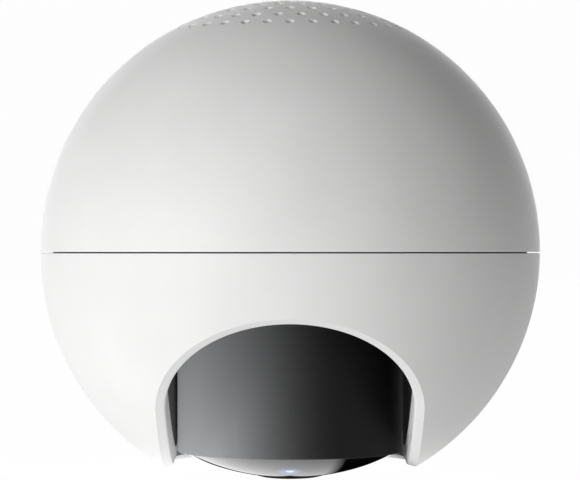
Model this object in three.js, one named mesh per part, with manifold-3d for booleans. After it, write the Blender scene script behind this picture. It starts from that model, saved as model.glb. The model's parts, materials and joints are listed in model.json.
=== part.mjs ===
// Smart speaker: a white ball with a perforated crown and an arched mouth at the lower front.
// A dark round core stands in the mouth on a glossy shallow bowl with a status light.
// Millimetres, +Z up, the mouth faces -Y, the origin is the centre of the foot's resting face.
import * as THREE from 'three';
import { mergeVertices } from 'three/addons/utils/BufferGeometryUtils.js';
import { ParametricGeometry } from 'three/addons/geometries/ParametricGeometry.js';
import Module from 'manifold-3d';

const wasm = await Module();
wasm.setup();

// ---------------------------------------------------------------- driving dimensions
const BALL_RADIUS = 60;
const SHELL_WALL = 2.7;
const BALL_HEIGHT = 54.55; // ball centre above the resting face
const SEAM_GAP = 0.3;
const SEAM_Z = -0.5; // the halves meet just below the ball's centre
const SEAM_RING_RADIUS = 56.9;
const SEAM_RING_WALL = 2;
const SEAM_RING_HALF_HEIGHT = 2.2;
const CLEARANCE = 0.3; // between neighbouring pieces
const SHELL_FACETS = 40;
const SHELL_ARC_STEPS = 9;
const SHELL_INNER_ARC_STEPS = 7;
const CORE_FACETS = 32;
const ROUND_FACETS = 24; // on smaller round pieces
const HOLE_FACETS = 8; // on screws and their holes

// mouth: a U outline in the plane square to an axis that points 45 degrees down and forward
const MOUTH_TILT = Math.PI / 4;
const MOUTH_HALF_WIDTH = 30.5;
const MOUTH_INNER_HALF_WIDTH = 28.2; // where the bevelled rim ends
const MOUTH_RIM_DEPTH = 1.5;
const MOUTH_WALL_END_RADIUS = 73.9; // the wall ends on a flatter ball, whose centre lies behind
const MOUTH_WALL_END_SHIFT = 26;
const MOUTH_WALL_THICKNESS = 1.8;
const MOUTH_LEG_LENGTH = 39;
const MOUTH_WALL_LEG_LENGTH = 37;
const MOUTH_LEG_TAPER = 0.02;
const MOUTH_ARC_STEPS = 20;
const LINER_HALF_WIDTH = 30.2; // dark liner that carries on behind the wall
const LINER_THICKNESS = 1.9;
const LINER_BACK_DEPTH = 10;

// underside of the ball: cut off level, with an edge that slopes up and inward
const UNDERSIDE_Z = -51.5;
const UNDERSIDE_BEVEL_RISE = 1.5;

// level flange inside the underside edge, which closes the gap round the core
const FLANGE_INNER_RADIUS = 27.6;
const FLANGE_OUTER_RADIUS = 32;
const FLANGE_BOTTOM_Z = -48.8;
const FLANGE_THICKNESS = 1.6;

// crown perforation: rings of small holes, as [polar angle in degrees, holes, offset in pitches]
const CROWN_RINGS = [
  [0, 1, 0], [4.75, 6, 0], [9.5, 12, 0], [14.4, 18, 0.5], [19.1, 24, 0], [24, 29, 0.5], [28.5, 34, 0],
];
const CROWN_HOLE_RADIUS = 0.9;
const CROWN_HOLE_SIDES = 4;

// core: the round body that stands in the mouth
const SLEEVE_RADIUS = 27.1;
const SLEEVE_WALL = 0.8;
const SLEEVE_BOTTOM_Z = -48.3;
const SLEEVE_TOP_Z = -8;
const SLEEVE_CHAMFER = 0.3;
const TUB_RADIUS = 25.9;
const TUB_WALL = 2.2;
const TUB_TOP_Z = 6;
const TUB_BOTTOM_Z = -47.9;
const TUB_FLOOR_Z = -41.5;
const TUB_FLOOR = 2;
const TUB_FLANGE_RADIUS = 33;
const TUB_FLANGE_Z = -2.7;
const TUB_FLANGE = 1.7;
const TUB_SKIN = 0.2; // kept over bosses that stand in the cup's wall
const CORE_SCREW_CIRCLE = 30;
const CORE_SCREW_BORE = 1.4;

// passive radiator in a flat pocket on the front of the tub
const RADIATOR_Z = -24.5;
const RADIATOR_FACE_Y = -19.5;
const RADIATOR_POCKET_HALF_WIDTH = 16.5;
const RADIATOR_POCKET_HALF_HEIGHT = 14;
const RADIATOR_PLATE = 2.2;
const RADIATOR_HOLE_RADIUS = 10.5;
const RADIATOR_PISTON_RADIUS = 8.1;
const RADIATOR_WEIGHT_RADIUS = 5;
const RADIATOR_SURROUND_RADIUS = 10.9;
const RADIATOR_FRAME_RADIUS = 13.3;

// base bowl: a cap of a sphere that closes the core from below
const BOWL_RADIUS = 57.66;
const BOWL_CENTRE_Z = 3.12;
const BOWL_WALL = 1.6;
const BOWL_RIM_RADIUS = 26.1;
const BOWL_HUB_RADIUS = 9.5;
const BOWL_HUB_TOP_Z = -50.5;
const FOOT_RADIUS = 8;
const FOOT_FLAT_RADIUS = 6;
const FOOT_TOP_Z = -53.9;
const LIGHT_Y = -17.4;
const LIGHT_RADIUS = 1.2;
const BASE_SCREW_CIRCLE = 5.4;
const BASE_SCREW_SEAT_Z = -52;
const BASE_SCREW_BORE = 1.3;
const BASE_WEIGHT_RADIUS = 22.8;
const BASE_WEIGHT_Z = -47.2;
const BASE_WEIGHT_THICKNESS = 5.2;

// driver that fires up into the crown
const DRIVER_FLANGE_Z = TUB_TOP_Z + CLEARANCE;
const DRIVER_FLANGE = 1.8;
const DRIVER_SCREW_CIRCLE = 24.1;
const DRIVER_SCREW_BORE = 1.1;
const BASKET_RADIUS = 25.5;
const MAGNET_RADIUS = 15.5;
const MAGNET_BOTTOM_Z = -15.2;
const MAGNET_TOP_Z = -9.5;
const COIL_RADIUS = 7.1; // voice coil, on the cone's neck
const CONE_RADIUS = 18.9;
const SURROUND_RADIUS = 21.1;
const DUCT_RADIUS = 26.3;
const DUCT_WALL = 1.4;
const DUCT_TOP_Z = 48.6;
const CROWN_CLOTH_RADIUS = 56.4;
const CROWN_CLOTH_THICKNESS = 0.6;
const CROWN_CLOTH_EDGE = 31; // polar angle in degrees

// frame and boards
const FRAME_Z = -5;
const FRAME_THICKNESS = 2;
const FRAME_RADIUS = 56;
const BOSS_CIRCLE = 48;
const BOSS_RADIUS = 3;
const BOSS_BORE = 1.5;
const BOSS_BORE_DEPTH = 10;
const BOSS_BOTTOM_Z = -40;
const BOARD_Z = 8;
const BOARD_THICKNESS = 1.6;
const BOARD_INNER_RADIUS = 31;
const BOARD_OUTER_RADIUS = 50;
const BOARD_POST_CIRCLE = 46;
const BOARD_POST_RADIUS = 2.4;
const BOARD_POST_BORE = 1.1;
const BOARD_SCREW_BORE = 1.2;
const ANTENNA_X = 45;
const MIC_BOARD_Z = 44;
const MIC_CIRCLE = 28.5;
const MIC_BOOT_TOP_Z = 46.9;

// connector recess in the back
const RECESS_Z = -20;
const RECESS_HALF_WIDTH = 17;
const RECESS_HALF_HEIGHT = 8;
const RECESS_WALL = 1.5;
const RECESS_COLLAR_DEPTH = 5;
const PANEL_FACE_Y = 49.4;
const PANEL_THICKNESS = 2;
const PANEL_CLEARANCE = 0.4;
const PANEL_BACK_Y = PANEL_FACE_Y - PANEL_THICKNESS;
const USB_X = 9;
const SLIDER_X = -9.2;
const SLIDER_TRAVEL = 2.4;
const REAR_BOARD_Y = 40;
const REAR_BOARD_THICKNESS = 1.4;
const BUTTON_RADIUS = 2.3;
const PIN_HOLE_RADIUS = 0.6;

// ---------------------------------------------------------------- shape helpers
const polar = (radius, angle) => new THREE.Vector3(radius * Math.cos(angle), radius * Math.sin(angle), 0);

// closed ring or solid of revolution about Z from [radius, z] points, outer side going up
function lathe(points, segments = ROUND_FACETS) {
  const profile = points.map(([radius, z]) => new THREE.Vector2(radius, z));
  const closed = points[0][0] > 0;
  if (closed) profile.push(profile[0].clone());
  return new THREE.LatheGeometry(profile, segments).rotateX(Math.PI / 2);
}

const disc = (radius, bottom, top, segments = ROUND_FACETS) =>
  lathe([[0, bottom], [radius, bottom], [radius, top], [0, top]], segments);

const ring = (inner, outer, bottom, top, segments = ROUND_FACETS) =>
  lathe([[inner, bottom], [outer, bottom], [outer, top], [inner, top]], segments);

function box(minX, maxX, minY, maxY, minZ, maxZ) {
  const geometry = new THREE.BoxGeometry(maxX - minX, maxY - minY, maxZ - minZ);
  return geometry.translate((minX + maxX) / 2, (minY + maxY) / 2, (minZ + maxZ) / 2);
}

// level slab as wide as the ball
const slab = (minZ, maxZ) => box(-BALL_RADIUS, BALL_RADIUS, -BALL_RADIUS, BALL_RADIUS, minZ, maxZ);

const ball = (radius, z = 0) =>
  new THREE.SphereGeometry(radius, SHELL_FACETS, 32).rotateX(Math.PI / 2).translate(0, 0, z);

// an upright shape turned so that its +Z points along -Y, the way the object faces
const facingFront = (geometry) => geometry.rotateX(Math.PI / 2);

// points on an arc about the axis, from one polar angle to another (0 is straight up)
function arc(radius, centreZ, fromAngle, toAngle, steps) {
  const points = [];
  for (let i = 0; i <= steps; i++) {
    const angle = THREE.MathUtils.lerp(fromAngle, toAngle, i / steps);
    points.push([radius * Math.sin(angle), centreZ + radius * Math.cos(angle)]);
  }
  return points;
}

// ---------------------------------------------------------------- joining and cutting
function solid(geometry) {
  const bare = geometry.clone();
  bare.deleteAttribute('normal');
  bare.deleteAttribute('uv');
  const merged = mergeVertices(bare, 1e-4);
  const index = merged.index.array;
  const corners = [];
  for (let i = 0; i < index.length; i += 3) {
    const [a, b, c] = [index[i], index[i + 1], index[i + 2]];
    if (a !== b && b !== c && c !== a) corners.push(a, b, c);
  }
  const vertProperties = new Float32Array(merged.attributes.position.array);
  const triVerts = new Uint32Array(corners);
  return new wasm.Manifold(new wasm.Mesh({ numProp: 3, vertProperties, triVerts }));
}

function geometryOf(manifold) {
  const mesh = manifold.getMesh();
  const geometry = new THREE.BufferGeometry();
  geometry.setAttribute('position', new THREE.BufferAttribute(mesh.vertProperties, 3));
  geometry.setIndex(new THREE.BufferAttribute(mesh.triVerts, 1));
  geometry.computeVertexNormals();
  return geometry;
}

const join = (first, ...others) => others.reduce((sum, other) => sum.add(solid(other)), first);
const cut = (first, ...others) => others.reduce((rest, other) => rest.subtract(solid(other)), first);

// ---------------------------------------------------------------- materials
const material = (color, roughness, metalness = 0) =>
  new THREE.MeshStandardMaterial({ color, roughness, metalness });

const white = () => material(0xeeeeec, 0.5);
const innerPlastic = () => material(0x55585c, 0.6);
const blackPlastic = () => material(0x1b1c1e, 0.45);
const blackGloss = () => material(0x08090a, 0.08);
const darkSatin = () => material(0x2a2b2d, 0.38);
const rubber = () => material(0x202123, 0.9);
const steel = () => material(0xa9abad, 0.35, 1);
const ferrite = () => material(0x3a3b3d, 0.8);
const paper = () => material(0x26272a, 0.85);
const board = () => material(0x1d5a3a, 0.55);
const chip = () => material(0x151617, 0.5);
const cloth = () => material(0x17181a, 0.95);
const copper = () => material(0xb87333, 0.3, 1);

// ---------------------------------------------------------------- assembly
const speaker = new THREE.Group();
const body = new THREE.Group(); // measured from the ball's centre
body.position.z = BALL_HEIGHT;
speaker.add(body);

function add(name, shape, look) {
  const geometry = shape instanceof THREE.BufferGeometry ? shape : geometryOf(shape);
  const mesh = new THREE.Mesh(geometry, look);
  mesh.name = name;
  body.add(mesh);
}

// ---------------------------------------------------------------- shells
const innerRadius = BALL_RADIUS - SHELL_WALL;

// polar angle of a half's edge at the seam: side 1 is the upper half, -1 the lower
const seamAngle = (radius, side) => Math.acos((SEAM_Z + (side * SEAM_GAP) / 2) / radius);

function upperShellBody() {
  const outer = arc(BALL_RADIUS, 0, seamAngle(BALL_RADIUS, 1), 0, SHELL_ARC_STEPS);
  const inner = arc(innerRadius, 0, 0, seamAngle(innerRadius, 1), SHELL_INNER_ARC_STEPS);
  const profile = [...outer, ...inner, outer[0]].map(([radius, z]) => new THREE.Vector2(radius, z));
  return new THREE.LatheGeometry(profile, SHELL_FACETS).rotateX(Math.PI / 2);
}

// one perforation, a short prism through the wall, turned to point at the ball's centre
function crownHole(polarAngle, azimuth) {
  const length = SHELL_WALL + 2;
  const hole = new THREE.CylinderGeometry(CROWN_HOLE_RADIUS, CROWN_HOLE_RADIUS, length, CROWN_HOLE_SIDES);
  hole.rotateX(Math.PI / 2).translate(0, 0, BALL_RADIUS - SHELL_WALL / 2);
  return hole.rotateY(polarAngle).rotateZ(azimuth);
}

function upperShell() {
  let shell = solid(upperShellBody());
  for (const [degrees, count, offset] of CROWN_RINGS) {
    for (let i = 0; i < count; i++) {
      const azimuth = -Math.PI / 2 + ((i + offset) * 2 * Math.PI) / count;
      shell = cut(shell, crownHole(THREE.MathUtils.degToRad(degrees), azimuth));
    }
  }
  return shell;
}

// dark band behind the seam, which centres the halves on each other
function seamRing() {
  const inner = SEAM_RING_RADIUS - SEAM_RING_WALL;
  const [bottom, top] = [SEAM_Z - SEAM_RING_HALF_HEIGHT, SEAM_Z + SEAM_RING_HALF_HEIGHT];
  return ring(inner, SEAM_RING_RADIUS, bottom, top, SHELL_FACETS);
}

// lower half: the bevelled underside edge joins the outer and inner surfaces
function lowerShellBody() {
  const undersideRadius = Math.sqrt(BALL_RADIUS ** 2 - UNDERSIDE_Z ** 2);
  const innerEdgeZ = UNDERSIDE_Z + UNDERSIDE_BEVEL_RISE;
  const outerEdge = Math.PI - Math.asin(undersideRadius / BALL_RADIUS);
  const innerEdge = Math.acos(innerEdgeZ / innerRadius);
  const outer = arc(BALL_RADIUS, 0, outerEdge, seamAngle(BALL_RADIUS, -1), SHELL_ARC_STEPS);
  const inner = arc(innerRadius, 0, seamAngle(innerRadius, -1), innerEdge, SHELL_INNER_ARC_STEPS - 2);
  return lathe([...outer, ...inner], SHELL_FACETS);
}

// U outline of the mouth as [x, v], v pointing up along the tilted plane; u runs from 0 to 1
function mouthOutline(u, halfWidth, legLength) {
  const legShare = 0.2;
  const leg = (length) => [halfWidth - MOUTH_LEG_TAPER * length, -length];
  const foot = 0.1; // share of the outline taken by the closing line below
  const s = u / (1 - foot);
  if (s < legShare) return leg(legLength * (1 - s / legShare));
  if (s <= 1 - legShare) {
    const angle = (Math.PI * (s - legShare)) / (1 - 2 * legShare);
    return [halfWidth * Math.cos(angle), halfWidth * Math.sin(angle)];
  }
  if (s <= 1) {
    const [x, v] = leg((legLength * (s - 1 + legShare)) / legShare);
    return [-x, v];
  }
  const [x, v] = leg(legLength);
  return [-x + (2 * x * (u - 1 + foot)) / foot, v];
}

// tilted frame to the ball's frame: x stays, v points up and forward, depth points down and forward
function fromMouthFrame(x, v, depth, target) {
  const sin = Math.sin(MOUTH_TILT);
  const cos = Math.cos(MOUTH_TILT);
  target.set(x, -(depth * cos + v * sin), -depth * sin + v * cos);
}

// closed plug lofted through U outlines, each [half width, depth(x, v) along the mouth axis]
function mouthPlug(sections, legLength) {
  const first = sections[0];
  const last = sections[sections.length - 1];
  const levels = [{ centre: first }, ...sections.map((section) => ({ section })), { centre: last }];
  const place = (u, level, target) => {
    const { centre, section } = levels[Math.round(level * (levels.length - 1))];
    const [halfWidth, depth] = centre ?? section;
    const [x, v] = centre ? [0, -legLength / 4] : mouthOutline(1 - u, halfWidth, legLength);
    fromMouthFrame(x, v, depth(x, v), target);
  };
  return new ParametricGeometry(place, MOUTH_ARC_STEPS * 2, levels.length - 1);
}

const depthOnBall = (radius, behind = 0) => (x, v) => Math.sqrt(radius ** 2 - x ** 2 - v ** 2) - behind;

// what is cut out: a bevel at the surface, then a straight wall, then clear space
function mouthCutter() {
  const beyond = BALL_RADIUS + 8;
  const rimRadius = BALL_RADIUS - MOUTH_RIM_DEPTH;
  return mouthPlug([
    [MOUTH_HALF_WIDTH, () => beyond],
    [MOUTH_HALF_WIDTH, depthOnBall(BALL_RADIUS)],
    [MOUTH_INNER_HALF_WIDTH, depthOnBall(rimRadius)],
    [MOUTH_INNER_HALF_WIDTH, () => 8],
  ], MOUTH_LEG_LENGTH);
}

// the wall that lines the mouth behind its rim
function mouthWall() {
  const width = MOUTH_INNER_HALF_WIDTH + MOUTH_WALL_THICKNESS;
  const skin = innerRadius + SHELL_WALL / 2;
  return mouthPlug([
    [width, depthOnBall(skin)],
    [width, depthOnBall(MOUTH_WALL_END_RADIUS, MOUTH_WALL_END_SHIFT)],
  ], MOUTH_WALL_LEG_LENGTH);
}

// dark U that carries on from the wall, back to the core's sides
function mouthLiner() {
  const behind = MOUTH_WALL_END_SHIFT + CLEARANCE;
  const halfWidth = LINER_HALF_WIDTH;
  const bore = halfWidth - LINER_THICKNESS;
  const back = () => LINER_BACK_DEPTH;
  const beyondBack = () => LINER_BACK_DEPTH - 8;
  const outerSections = [[halfWidth, depthOnBall(MOUTH_WALL_END_RADIUS, behind)], [halfWidth, back]];
  const innerSections = [[bore, depthOnBall(MOUTH_WALL_END_RADIUS, behind - 5)], [bore, beyondBack]];
  const outside = mouthPlug(outerSections, MOUTH_WALL_LEG_LENGTH);
  const inside = mouthPlug(innerSections, MOUTH_LEG_LENGTH);
  const bottom = FLANGE_BOTTOM_Z + FLANGE_THICKNESS + CLEARANCE;
  const space = solid(slab(bottom, FRAME_Z - CLEARANCE));
  return cut(solid(outside), inside).intersect(space).intersect(solid(ball(BALL_RADIUS - 4)));
}

function recessBox(margin, minY, maxY) {
  const halfWidth = RECESS_HALF_WIDTH + margin;
  const halfHeight = RECESS_HALF_HEIGHT + margin;
  return box(-halfWidth, halfWidth, minY, maxY, RECESS_Z - halfHeight, RECESS_Z + halfHeight);
}

function lowerShell() {
  const innerEdgeZ = UNDERSIDE_Z + UNDERSIDE_BEVEL_RISE;
  const wall = solid(mouthWall()).intersect(solid(slab(innerEdgeZ, 0)));
  const collarStart = PANEL_FACE_Y - RECESS_COLLAR_DEPTH;
  const insideShell = solid(ball(BALL_RADIUS - 1));
  const collar = solid(recessBox(RECESS_WALL, collarStart, BALL_RADIUS)).intersect(insideShell);
  const flangeTop = FLANGE_BOTTOM_Z + FLANGE_THICKNESS;
  const flange = ring(FLANGE_INNER_RADIUS, FLANGE_OUTER_RADIUS, FLANGE_BOTTOM_Z, flangeTop, CORE_FACETS);
  let shell = solid(lowerShellBody()).add(wall).add(collar).add(solid(flange));
  const bossTop = FRAME_Z - CLEARANCE;
  for (let i = 0; i < 4; i++) {
    const centre = polar(BOSS_CIRCLE, Math.PI / 4 + (i * Math.PI) / 2);
    const boss = disc(BOSS_RADIUS, BOSS_BOTTOM_Z, bossTop, HOLE_FACETS).translate(centre.x, centre.y, 0);
    const bore = disc(BOSS_BORE, bossTop - BOSS_BORE_DEPTH, bossTop + 1, HOLE_FACETS);
    shell = shell.add(solid(boss).intersect(insideShell));
    shell = cut(shell, bore.translate(centre.x, centre.y, 0));
  }
  shell = cut(shell, recessBox(0, collarStart - 1, BALL_RADIUS + 1));
  return cut(shell, mouthCutter());
}

// ---------------------------------------------------------------- core
const coreScrewAngle = (i) => Math.PI / 2 + (i * 2 * Math.PI) / 3;

// cup with a skirt below its floor, a flange, and a flat pocket for the passive radiator
function tub() {
  const inner = TUB_RADIUS - TUB_WALL;
  const cup = lathe([
    [inner, TUB_BOTTOM_Z], [TUB_RADIUS, TUB_BOTTOM_Z], [TUB_RADIUS, TUB_FLANGE_Z],
    [TUB_FLANGE_RADIUS, TUB_FLANGE_Z], [TUB_FLANGE_RADIUS, TUB_FLANGE_Z + TUB_FLANGE],
    [TUB_RADIUS, TUB_FLANGE_Z + TUB_FLANGE], [TUB_RADIUS, TUB_TOP_Z], [inner, TUB_TOP_Z],
  ], CORE_FACETS);
  const floor = disc(inner + 1, TUB_FLOOR_Z, TUB_FLOOR_Z + TUB_FLOOR, CORE_FACETS);
  const low = RADIATOR_Z - RADIATOR_POCKET_HALF_HEIGHT;
  const high = RADIATOR_Z + RADIATOR_POCKET_HALF_HEIGHT;
  const within = solid(disc(TUB_RADIUS - TUB_SKIN, low - 3, high + 3, CORE_FACETS));
  const pocketHalf = RADIATOR_POCKET_HALF_WIDTH;
  const blockHalf = pocketHalf + 1.5;
  const plateBack = RADIATOR_FACE_Y + RADIATOR_PLATE;
  const block = solid(box(-blockHalf, blockHalf, -TUB_RADIUS, plateBack, low - 2, high + 2));
  let shape = join(solid(cup), floor).add(block.intersect(within));
  shape = cut(shape, box(-pocketHalf, pocketHalf, -TUB_RADIUS - 1, RADIATOR_FACE_Y, low, high));
  shape = cut(shape, radiatorRound(0, RADIATOR_HOLE_RADIUS, RADIATOR_FACE_Y - 1, plateBack + 1));
  for (let i = 0; i < 4; i++) {
    const angle = (i * Math.PI) / 2 + Math.PI / 4;
    const bossCentre = polar(DRIVER_SCREW_CIRCLE + TUB_SKIN, angle);
    const boss = solid(disc(2, -3, TUB_TOP_Z, 16).translate(bossCentre.x, bossCentre.y, 0));
    const boreCentre = polar(DRIVER_SCREW_CIRCLE, angle);
    const bore = disc(DRIVER_SCREW_BORE, TUB_TOP_Z - 6, TUB_TOP_Z + 1, HOLE_FACETS);
    shape = shape.add(boss.intersect(solid(disc(TUB_RADIUS - TUB_SKIN, -4, TUB_TOP_Z + 1, CORE_FACETS))));
    shape = cut(shape, bore.translate(boreCentre.x, boreCentre.y, 0));
  }
  for (let i = 0; i < 3; i++) {
    const hole = polar(CORE_SCREW_CIRCLE, coreScrewAngle(i));
    const bore = disc(CORE_SCREW_BORE, TUB_FLANGE_Z - 1, TUB_FLANGE_Z + 3, HOLE_FACETS);
    shape = cut(shape, bore.translate(hole.x, hole.y, 0));
  }
  return shape;
}

// ring or disc about the radiator's axis, between two Y planes
function radiatorRound(inner, outer, minY, maxY) {
  const flat = inner > 0 ? ring(inner, outer, -maxY, -minY) : disc(outer, -maxY, -minY);
  return facingFront(flat).translate(0, 0, RADIATOR_Z);
}

function radiatorDiaphragm() {
  const face = solid(radiatorRound(0, RADIATOR_PISTON_RADIUS, -21.3, -19.6));
  return join(face, radiatorRound(0, RADIATOR_WEIGHT_RADIUS, -20, -15.6));
}

function sleeve() {
  const inner = SLEEVE_RADIUS - SLEEVE_WALL;
  return lathe([
    [inner, SLEEVE_BOTTOM_Z], [SLEEVE_RADIUS - SLEEVE_CHAMFER, SLEEVE_BOTTOM_Z],
    [SLEEVE_RADIUS, SLEEVE_BOTTOM_Z + SLEEVE_CHAMFER], [SLEEVE_RADIUS, SLEEVE_TOP_Z], [inner, SLEEVE_TOP_Z],
  ], SHELL_FACETS);
}

function addCore() {
  add('core_sleeve', sleeve(), darkSatin());
  add('core_enclosure', tub(), innerPlastic());
  const frameBore = RADIATOR_SURROUND_RADIUS + CLEARANCE;
  const surroundBore = RADIATOR_PISTON_RADIUS + CLEARANCE;
  add('radiator_frame', radiatorRound(frameBore, RADIATOR_FRAME_RADIUS, -21.1, -19.8), blackPlastic());
  add('radiator_surround', radiatorRound(surroundBore, RADIATOR_SURROUND_RADIUS, -20.8, -20.1), rubber());
  add('radiator_diaphragm', radiatorDiaphragm(), paper());
}

// ---------------------------------------------------------------- driver
function addDriver() {
  const flangeTop = DRIVER_FLANGE_Z + DRIVER_FLANGE;
  const basket = lathe([
    [12.5, -6.6], [14.5, -6.6], [21.9, DRIVER_FLANGE_Z], [BASKET_RADIUS, DRIVER_FLANGE_Z],
    [BASKET_RADIUS, flangeTop], [21.4, flangeTop], [21.4, 7], [13.4, -5.2], [12.5, -5.2],
  ]);
  let basketSolid = solid(basket);
  for (let i = 0; i < 4; i++) {
    const angle = Math.PI / 4 + (i * Math.PI) / 2;
    const hole = polar(DRIVER_SCREW_CIRCLE, angle);
    const bore = disc(DRIVER_SCREW_BORE, DRIVER_FLANGE_Z - 1, flangeTop + 1, HOLE_FACETS);
    const window = box(14, 20, -4.5, 4.5, -3.2, 4).rotateZ(angle + Math.PI / 4);
    basketSolid = cut(basketSolid, bore.translate(hole.x, hole.y, 0), window);
    add(`driver_screw_${i + 1}`, screw(1.5, 1, 0.8, 6.5, flangeTop + 0.05, hole), steel());
  }
  add('driver_basket', basketSolid, steel());
  const plateRadius = MAGNET_RADIUS - 0.5;
  const plateZ = MAGNET_TOP_Z + CLEARANCE;
  const yokeZ = MAGNET_BOTTOM_Z - CLEARANCE;
  const poleRadius = COIL_RADIUS - 1.1;
  add('driver_top_plate', ring(COIL_RADIUS + 0.5, plateRadius, plateZ, plateZ + 2.3), steel());
  add('driver_magnet', ring(8.5, MAGNET_RADIUS, MAGNET_BOTTOM_Z, MAGNET_TOP_Z), ferrite());
  add('driver_yoke', lathe([
    [0, yokeZ - 2.5], [plateRadius, yokeZ - 2.5], [plateRadius, yokeZ],
    [poleRadius, yokeZ], [poleRadius, -7], [0, -7],
  ]), steel());
  add('driver_spider', ring(COIL_RADIUS + CLEARANCE, 14.2, -3.2, -2.4), cloth());
  add('driver_cone', lathe([
    [6.5, -12], [COIL_RADIUS, -12], [COIL_RADIUS, -0.8], [CONE_RADIUS, 6.6], [CONE_RADIUS, 7.4], [6.5, 0],
  ]), paper());
  add('driver_dust_cap', lathe([[0, 2.8], [4, 2.4], [7.4, 1.4], [7.8, 1.8], [4.2, 3.1], [0, 3.6]]), rubber());
  const rollInner = CONE_RADIUS + CLEARANCE;
  add('driver_surround', lathe([
    [rollInner, 7.2], [SURROUND_RADIUS, 7.2], [SURROUND_RADIUS, 7.8], [20.7, 8.5],
    [20.1, 8.8], [19.6, 8.5], [rollInner, 7.8],
  ]), rubber());
}

function duct() {
  const bottom = DRIVER_FLANGE_Z + DRIVER_FLANGE + CLEARANCE;
  const inner = DUCT_RADIUS - DUCT_WALL;
  const lip = SURROUND_RADIUS + 1.1;
  let shape = solid(lathe([
    [lip, bottom], [DUCT_RADIUS, bottom], [DUCT_RADIUS, DUCT_TOP_Z],
    [inner, DUCT_TOP_Z], [inner, bottom + 1.6], [lip, bottom + 1.2],
  ]));
  for (let i = 0; i < 4; i++) {
    const notch = polar(DRIVER_SCREW_CIRCLE, Math.PI / 4 + (i * Math.PI) / 2);
    shape = cut(shape, disc(1.9, bottom - 1, bottom + 1.4, HOLE_FACETS).translate(notch.x, notch.y, 0));
  }
  return shape;
}

// dark cloth cap just below the perforation
function crownCloth() {
  const edge = THREE.MathUtils.degToRad(CROWN_CLOTH_EDGE);
  const outer = arc(CROWN_CLOTH_RADIUS, 0, edge, 0, 4);
  const inner = arc(CROWN_CLOTH_RADIUS - CROWN_CLOTH_THICKNESS, 0, 0, edge, 4);
  const profile = [...outer, ...inner, outer[0]].map(([radius, z]) => new THREE.Vector2(radius, z));
  return new THREE.LatheGeometry(profile, ROUND_FACETS).rotateX(Math.PI / 2);
}

// ---------------------------------------------------------------- fasteners
// pan head above seatZ, shank below it
function screw(headRadius, headHeight, shankRadius, shankLength, seatZ, centre) {
  const tip = seatZ - shankLength;
  const top = seatZ + headHeight;
  const shank = [[0, tip], [shankRadius, tip], [shankRadius, seatZ]];
  const head = [[headRadius, seatZ], [headRadius, top], [0, top]];
  return lathe([...shank, ...head], HOLE_FACETS).translate(centre.x, centre.y, 0);
}

// ---------------------------------------------------------------- base
const baseScrewPlace = (i) => polar(BASE_SCREW_CIRCLE, -Math.PI / 2 + (i * 2 * Math.PI) / 3);

function bowl() {
  const outerEdge = Math.PI - Math.asin(BOWL_RIM_RADIUS / BOWL_RADIUS);
  const innerSphere = BOWL_RADIUS - BOWL_WALL;
  const rimZ = BOWL_CENTRE_Z + BOWL_RADIUS * Math.cos(outerEdge);
  const innerEdge = Math.acos((rimZ - BOWL_CENTRE_Z) / innerSphere);
  const outer = arc(BOWL_RADIUS, BOWL_CENTRE_Z, Math.PI, outerEdge, 5);
  const inner = arc(innerSphere, BOWL_CENTRE_Z, innerEdge, Math.PI, 3);
  const onAxis = (radius) => (Math.abs(radius) < 1e-9 ? 0 : radius);
  const profile = [...outer, ...inner].map(([radius, z]) => new THREE.Vector2(onAxis(radius), z));
  const skin = solid(new THREE.LatheGeometry(profile, SHELL_FACETS).rotateX(Math.PI / 2));
  let shape = join(skin, disc(BOWL_HUB_RADIUS, -53.4, BOWL_HUB_TOP_Z));
  shape = cut(shape, disc(FOOT_RADIUS + CLEARANCE, -56, FOOT_TOP_Z + CLEARANCE));
  shape = cut(shape, disc(LIGHT_RADIUS + CLEARANCE, -56, -45, 20).translate(0, LIGHT_Y, 0));
  for (let i = 0; i < 3; i++) {
    const centre = baseScrewPlace(i);
    const seat = disc(2.1, -56, BASE_SCREW_SEAT_Z, 16);
    const bore = disc(BASE_SCREW_BORE, -56, -45, HOLE_FACETS);
    shape = cut(shape, seat.translate(centre.x, centre.y, 0), bore.translate(centre.x, centre.y, 0));
  }
  return shape;
}

function baseWeight() {
  let weight = solid(disc(BASE_WEIGHT_RADIUS, BASE_WEIGHT_Z, BASE_WEIGHT_Z + BASE_WEIGHT_THICKNESS));
  for (let i = 0; i < 3; i++) {
    const centre = baseScrewPlace(i);
    const bore = disc(BASE_SCREW_BORE, BASE_WEIGHT_Z - 1, BASE_WEIGHT_Z + 3.7, HOLE_FACETS);
    weight = cut(weight, bore.translate(centre.x, centre.y, 0));
  }
  return weight;
}

function lightPipe() {
  const pin = solid(disc(LIGHT_RADIUS, -53, -49.3, 20).translate(0, LIGHT_Y, 0));
  return pin.intersect(solid(ball(BOWL_RADIUS - 0.1, BOWL_CENTRE_Z)));
}

// rubber foot whose edge curves up to carry on the bowl's surface
function footPad() {
  const edge = (FOOT_RADIUS + 2 * FOOT_FLAT_RADIUS) / 3;
  return lathe([
    [0, -BALL_HEIGHT], [FOOT_FLAT_RADIUS, -BALL_HEIGHT], [edge, -BALL_HEIGHT + 0.1],
    [FOOT_RADIUS, FOOT_TOP_Z - 0.2], [FOOT_RADIUS, FOOT_TOP_Z], [0, FOOT_TOP_Z],
  ]);
}

function addBase() {
  add('base_bowl', bowl(), blackGloss());
  add('base_weight', baseWeight(), steel());
  add('status_light_pipe', lightPipe(), material(0xa6c9ee, 0.3));
  add('status_light_board', box(-6, 6, -19.5, -13.5, -49, -48), board());
  add('foot_pad', footPad(), rubber());
  for (let i = 0; i < 3; i++) {
    const place = baseScrewPlace(i);
    const turned = screw(1.8, 1.3, 1, 8, 0, { x: 0, y: 0 }).rotateX(Math.PI);
    add(`base_screw_${i + 1}`, turned.translate(place.x, place.y, BASE_SCREW_SEAT_Z - 0.05), steel());
  }
}

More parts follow.
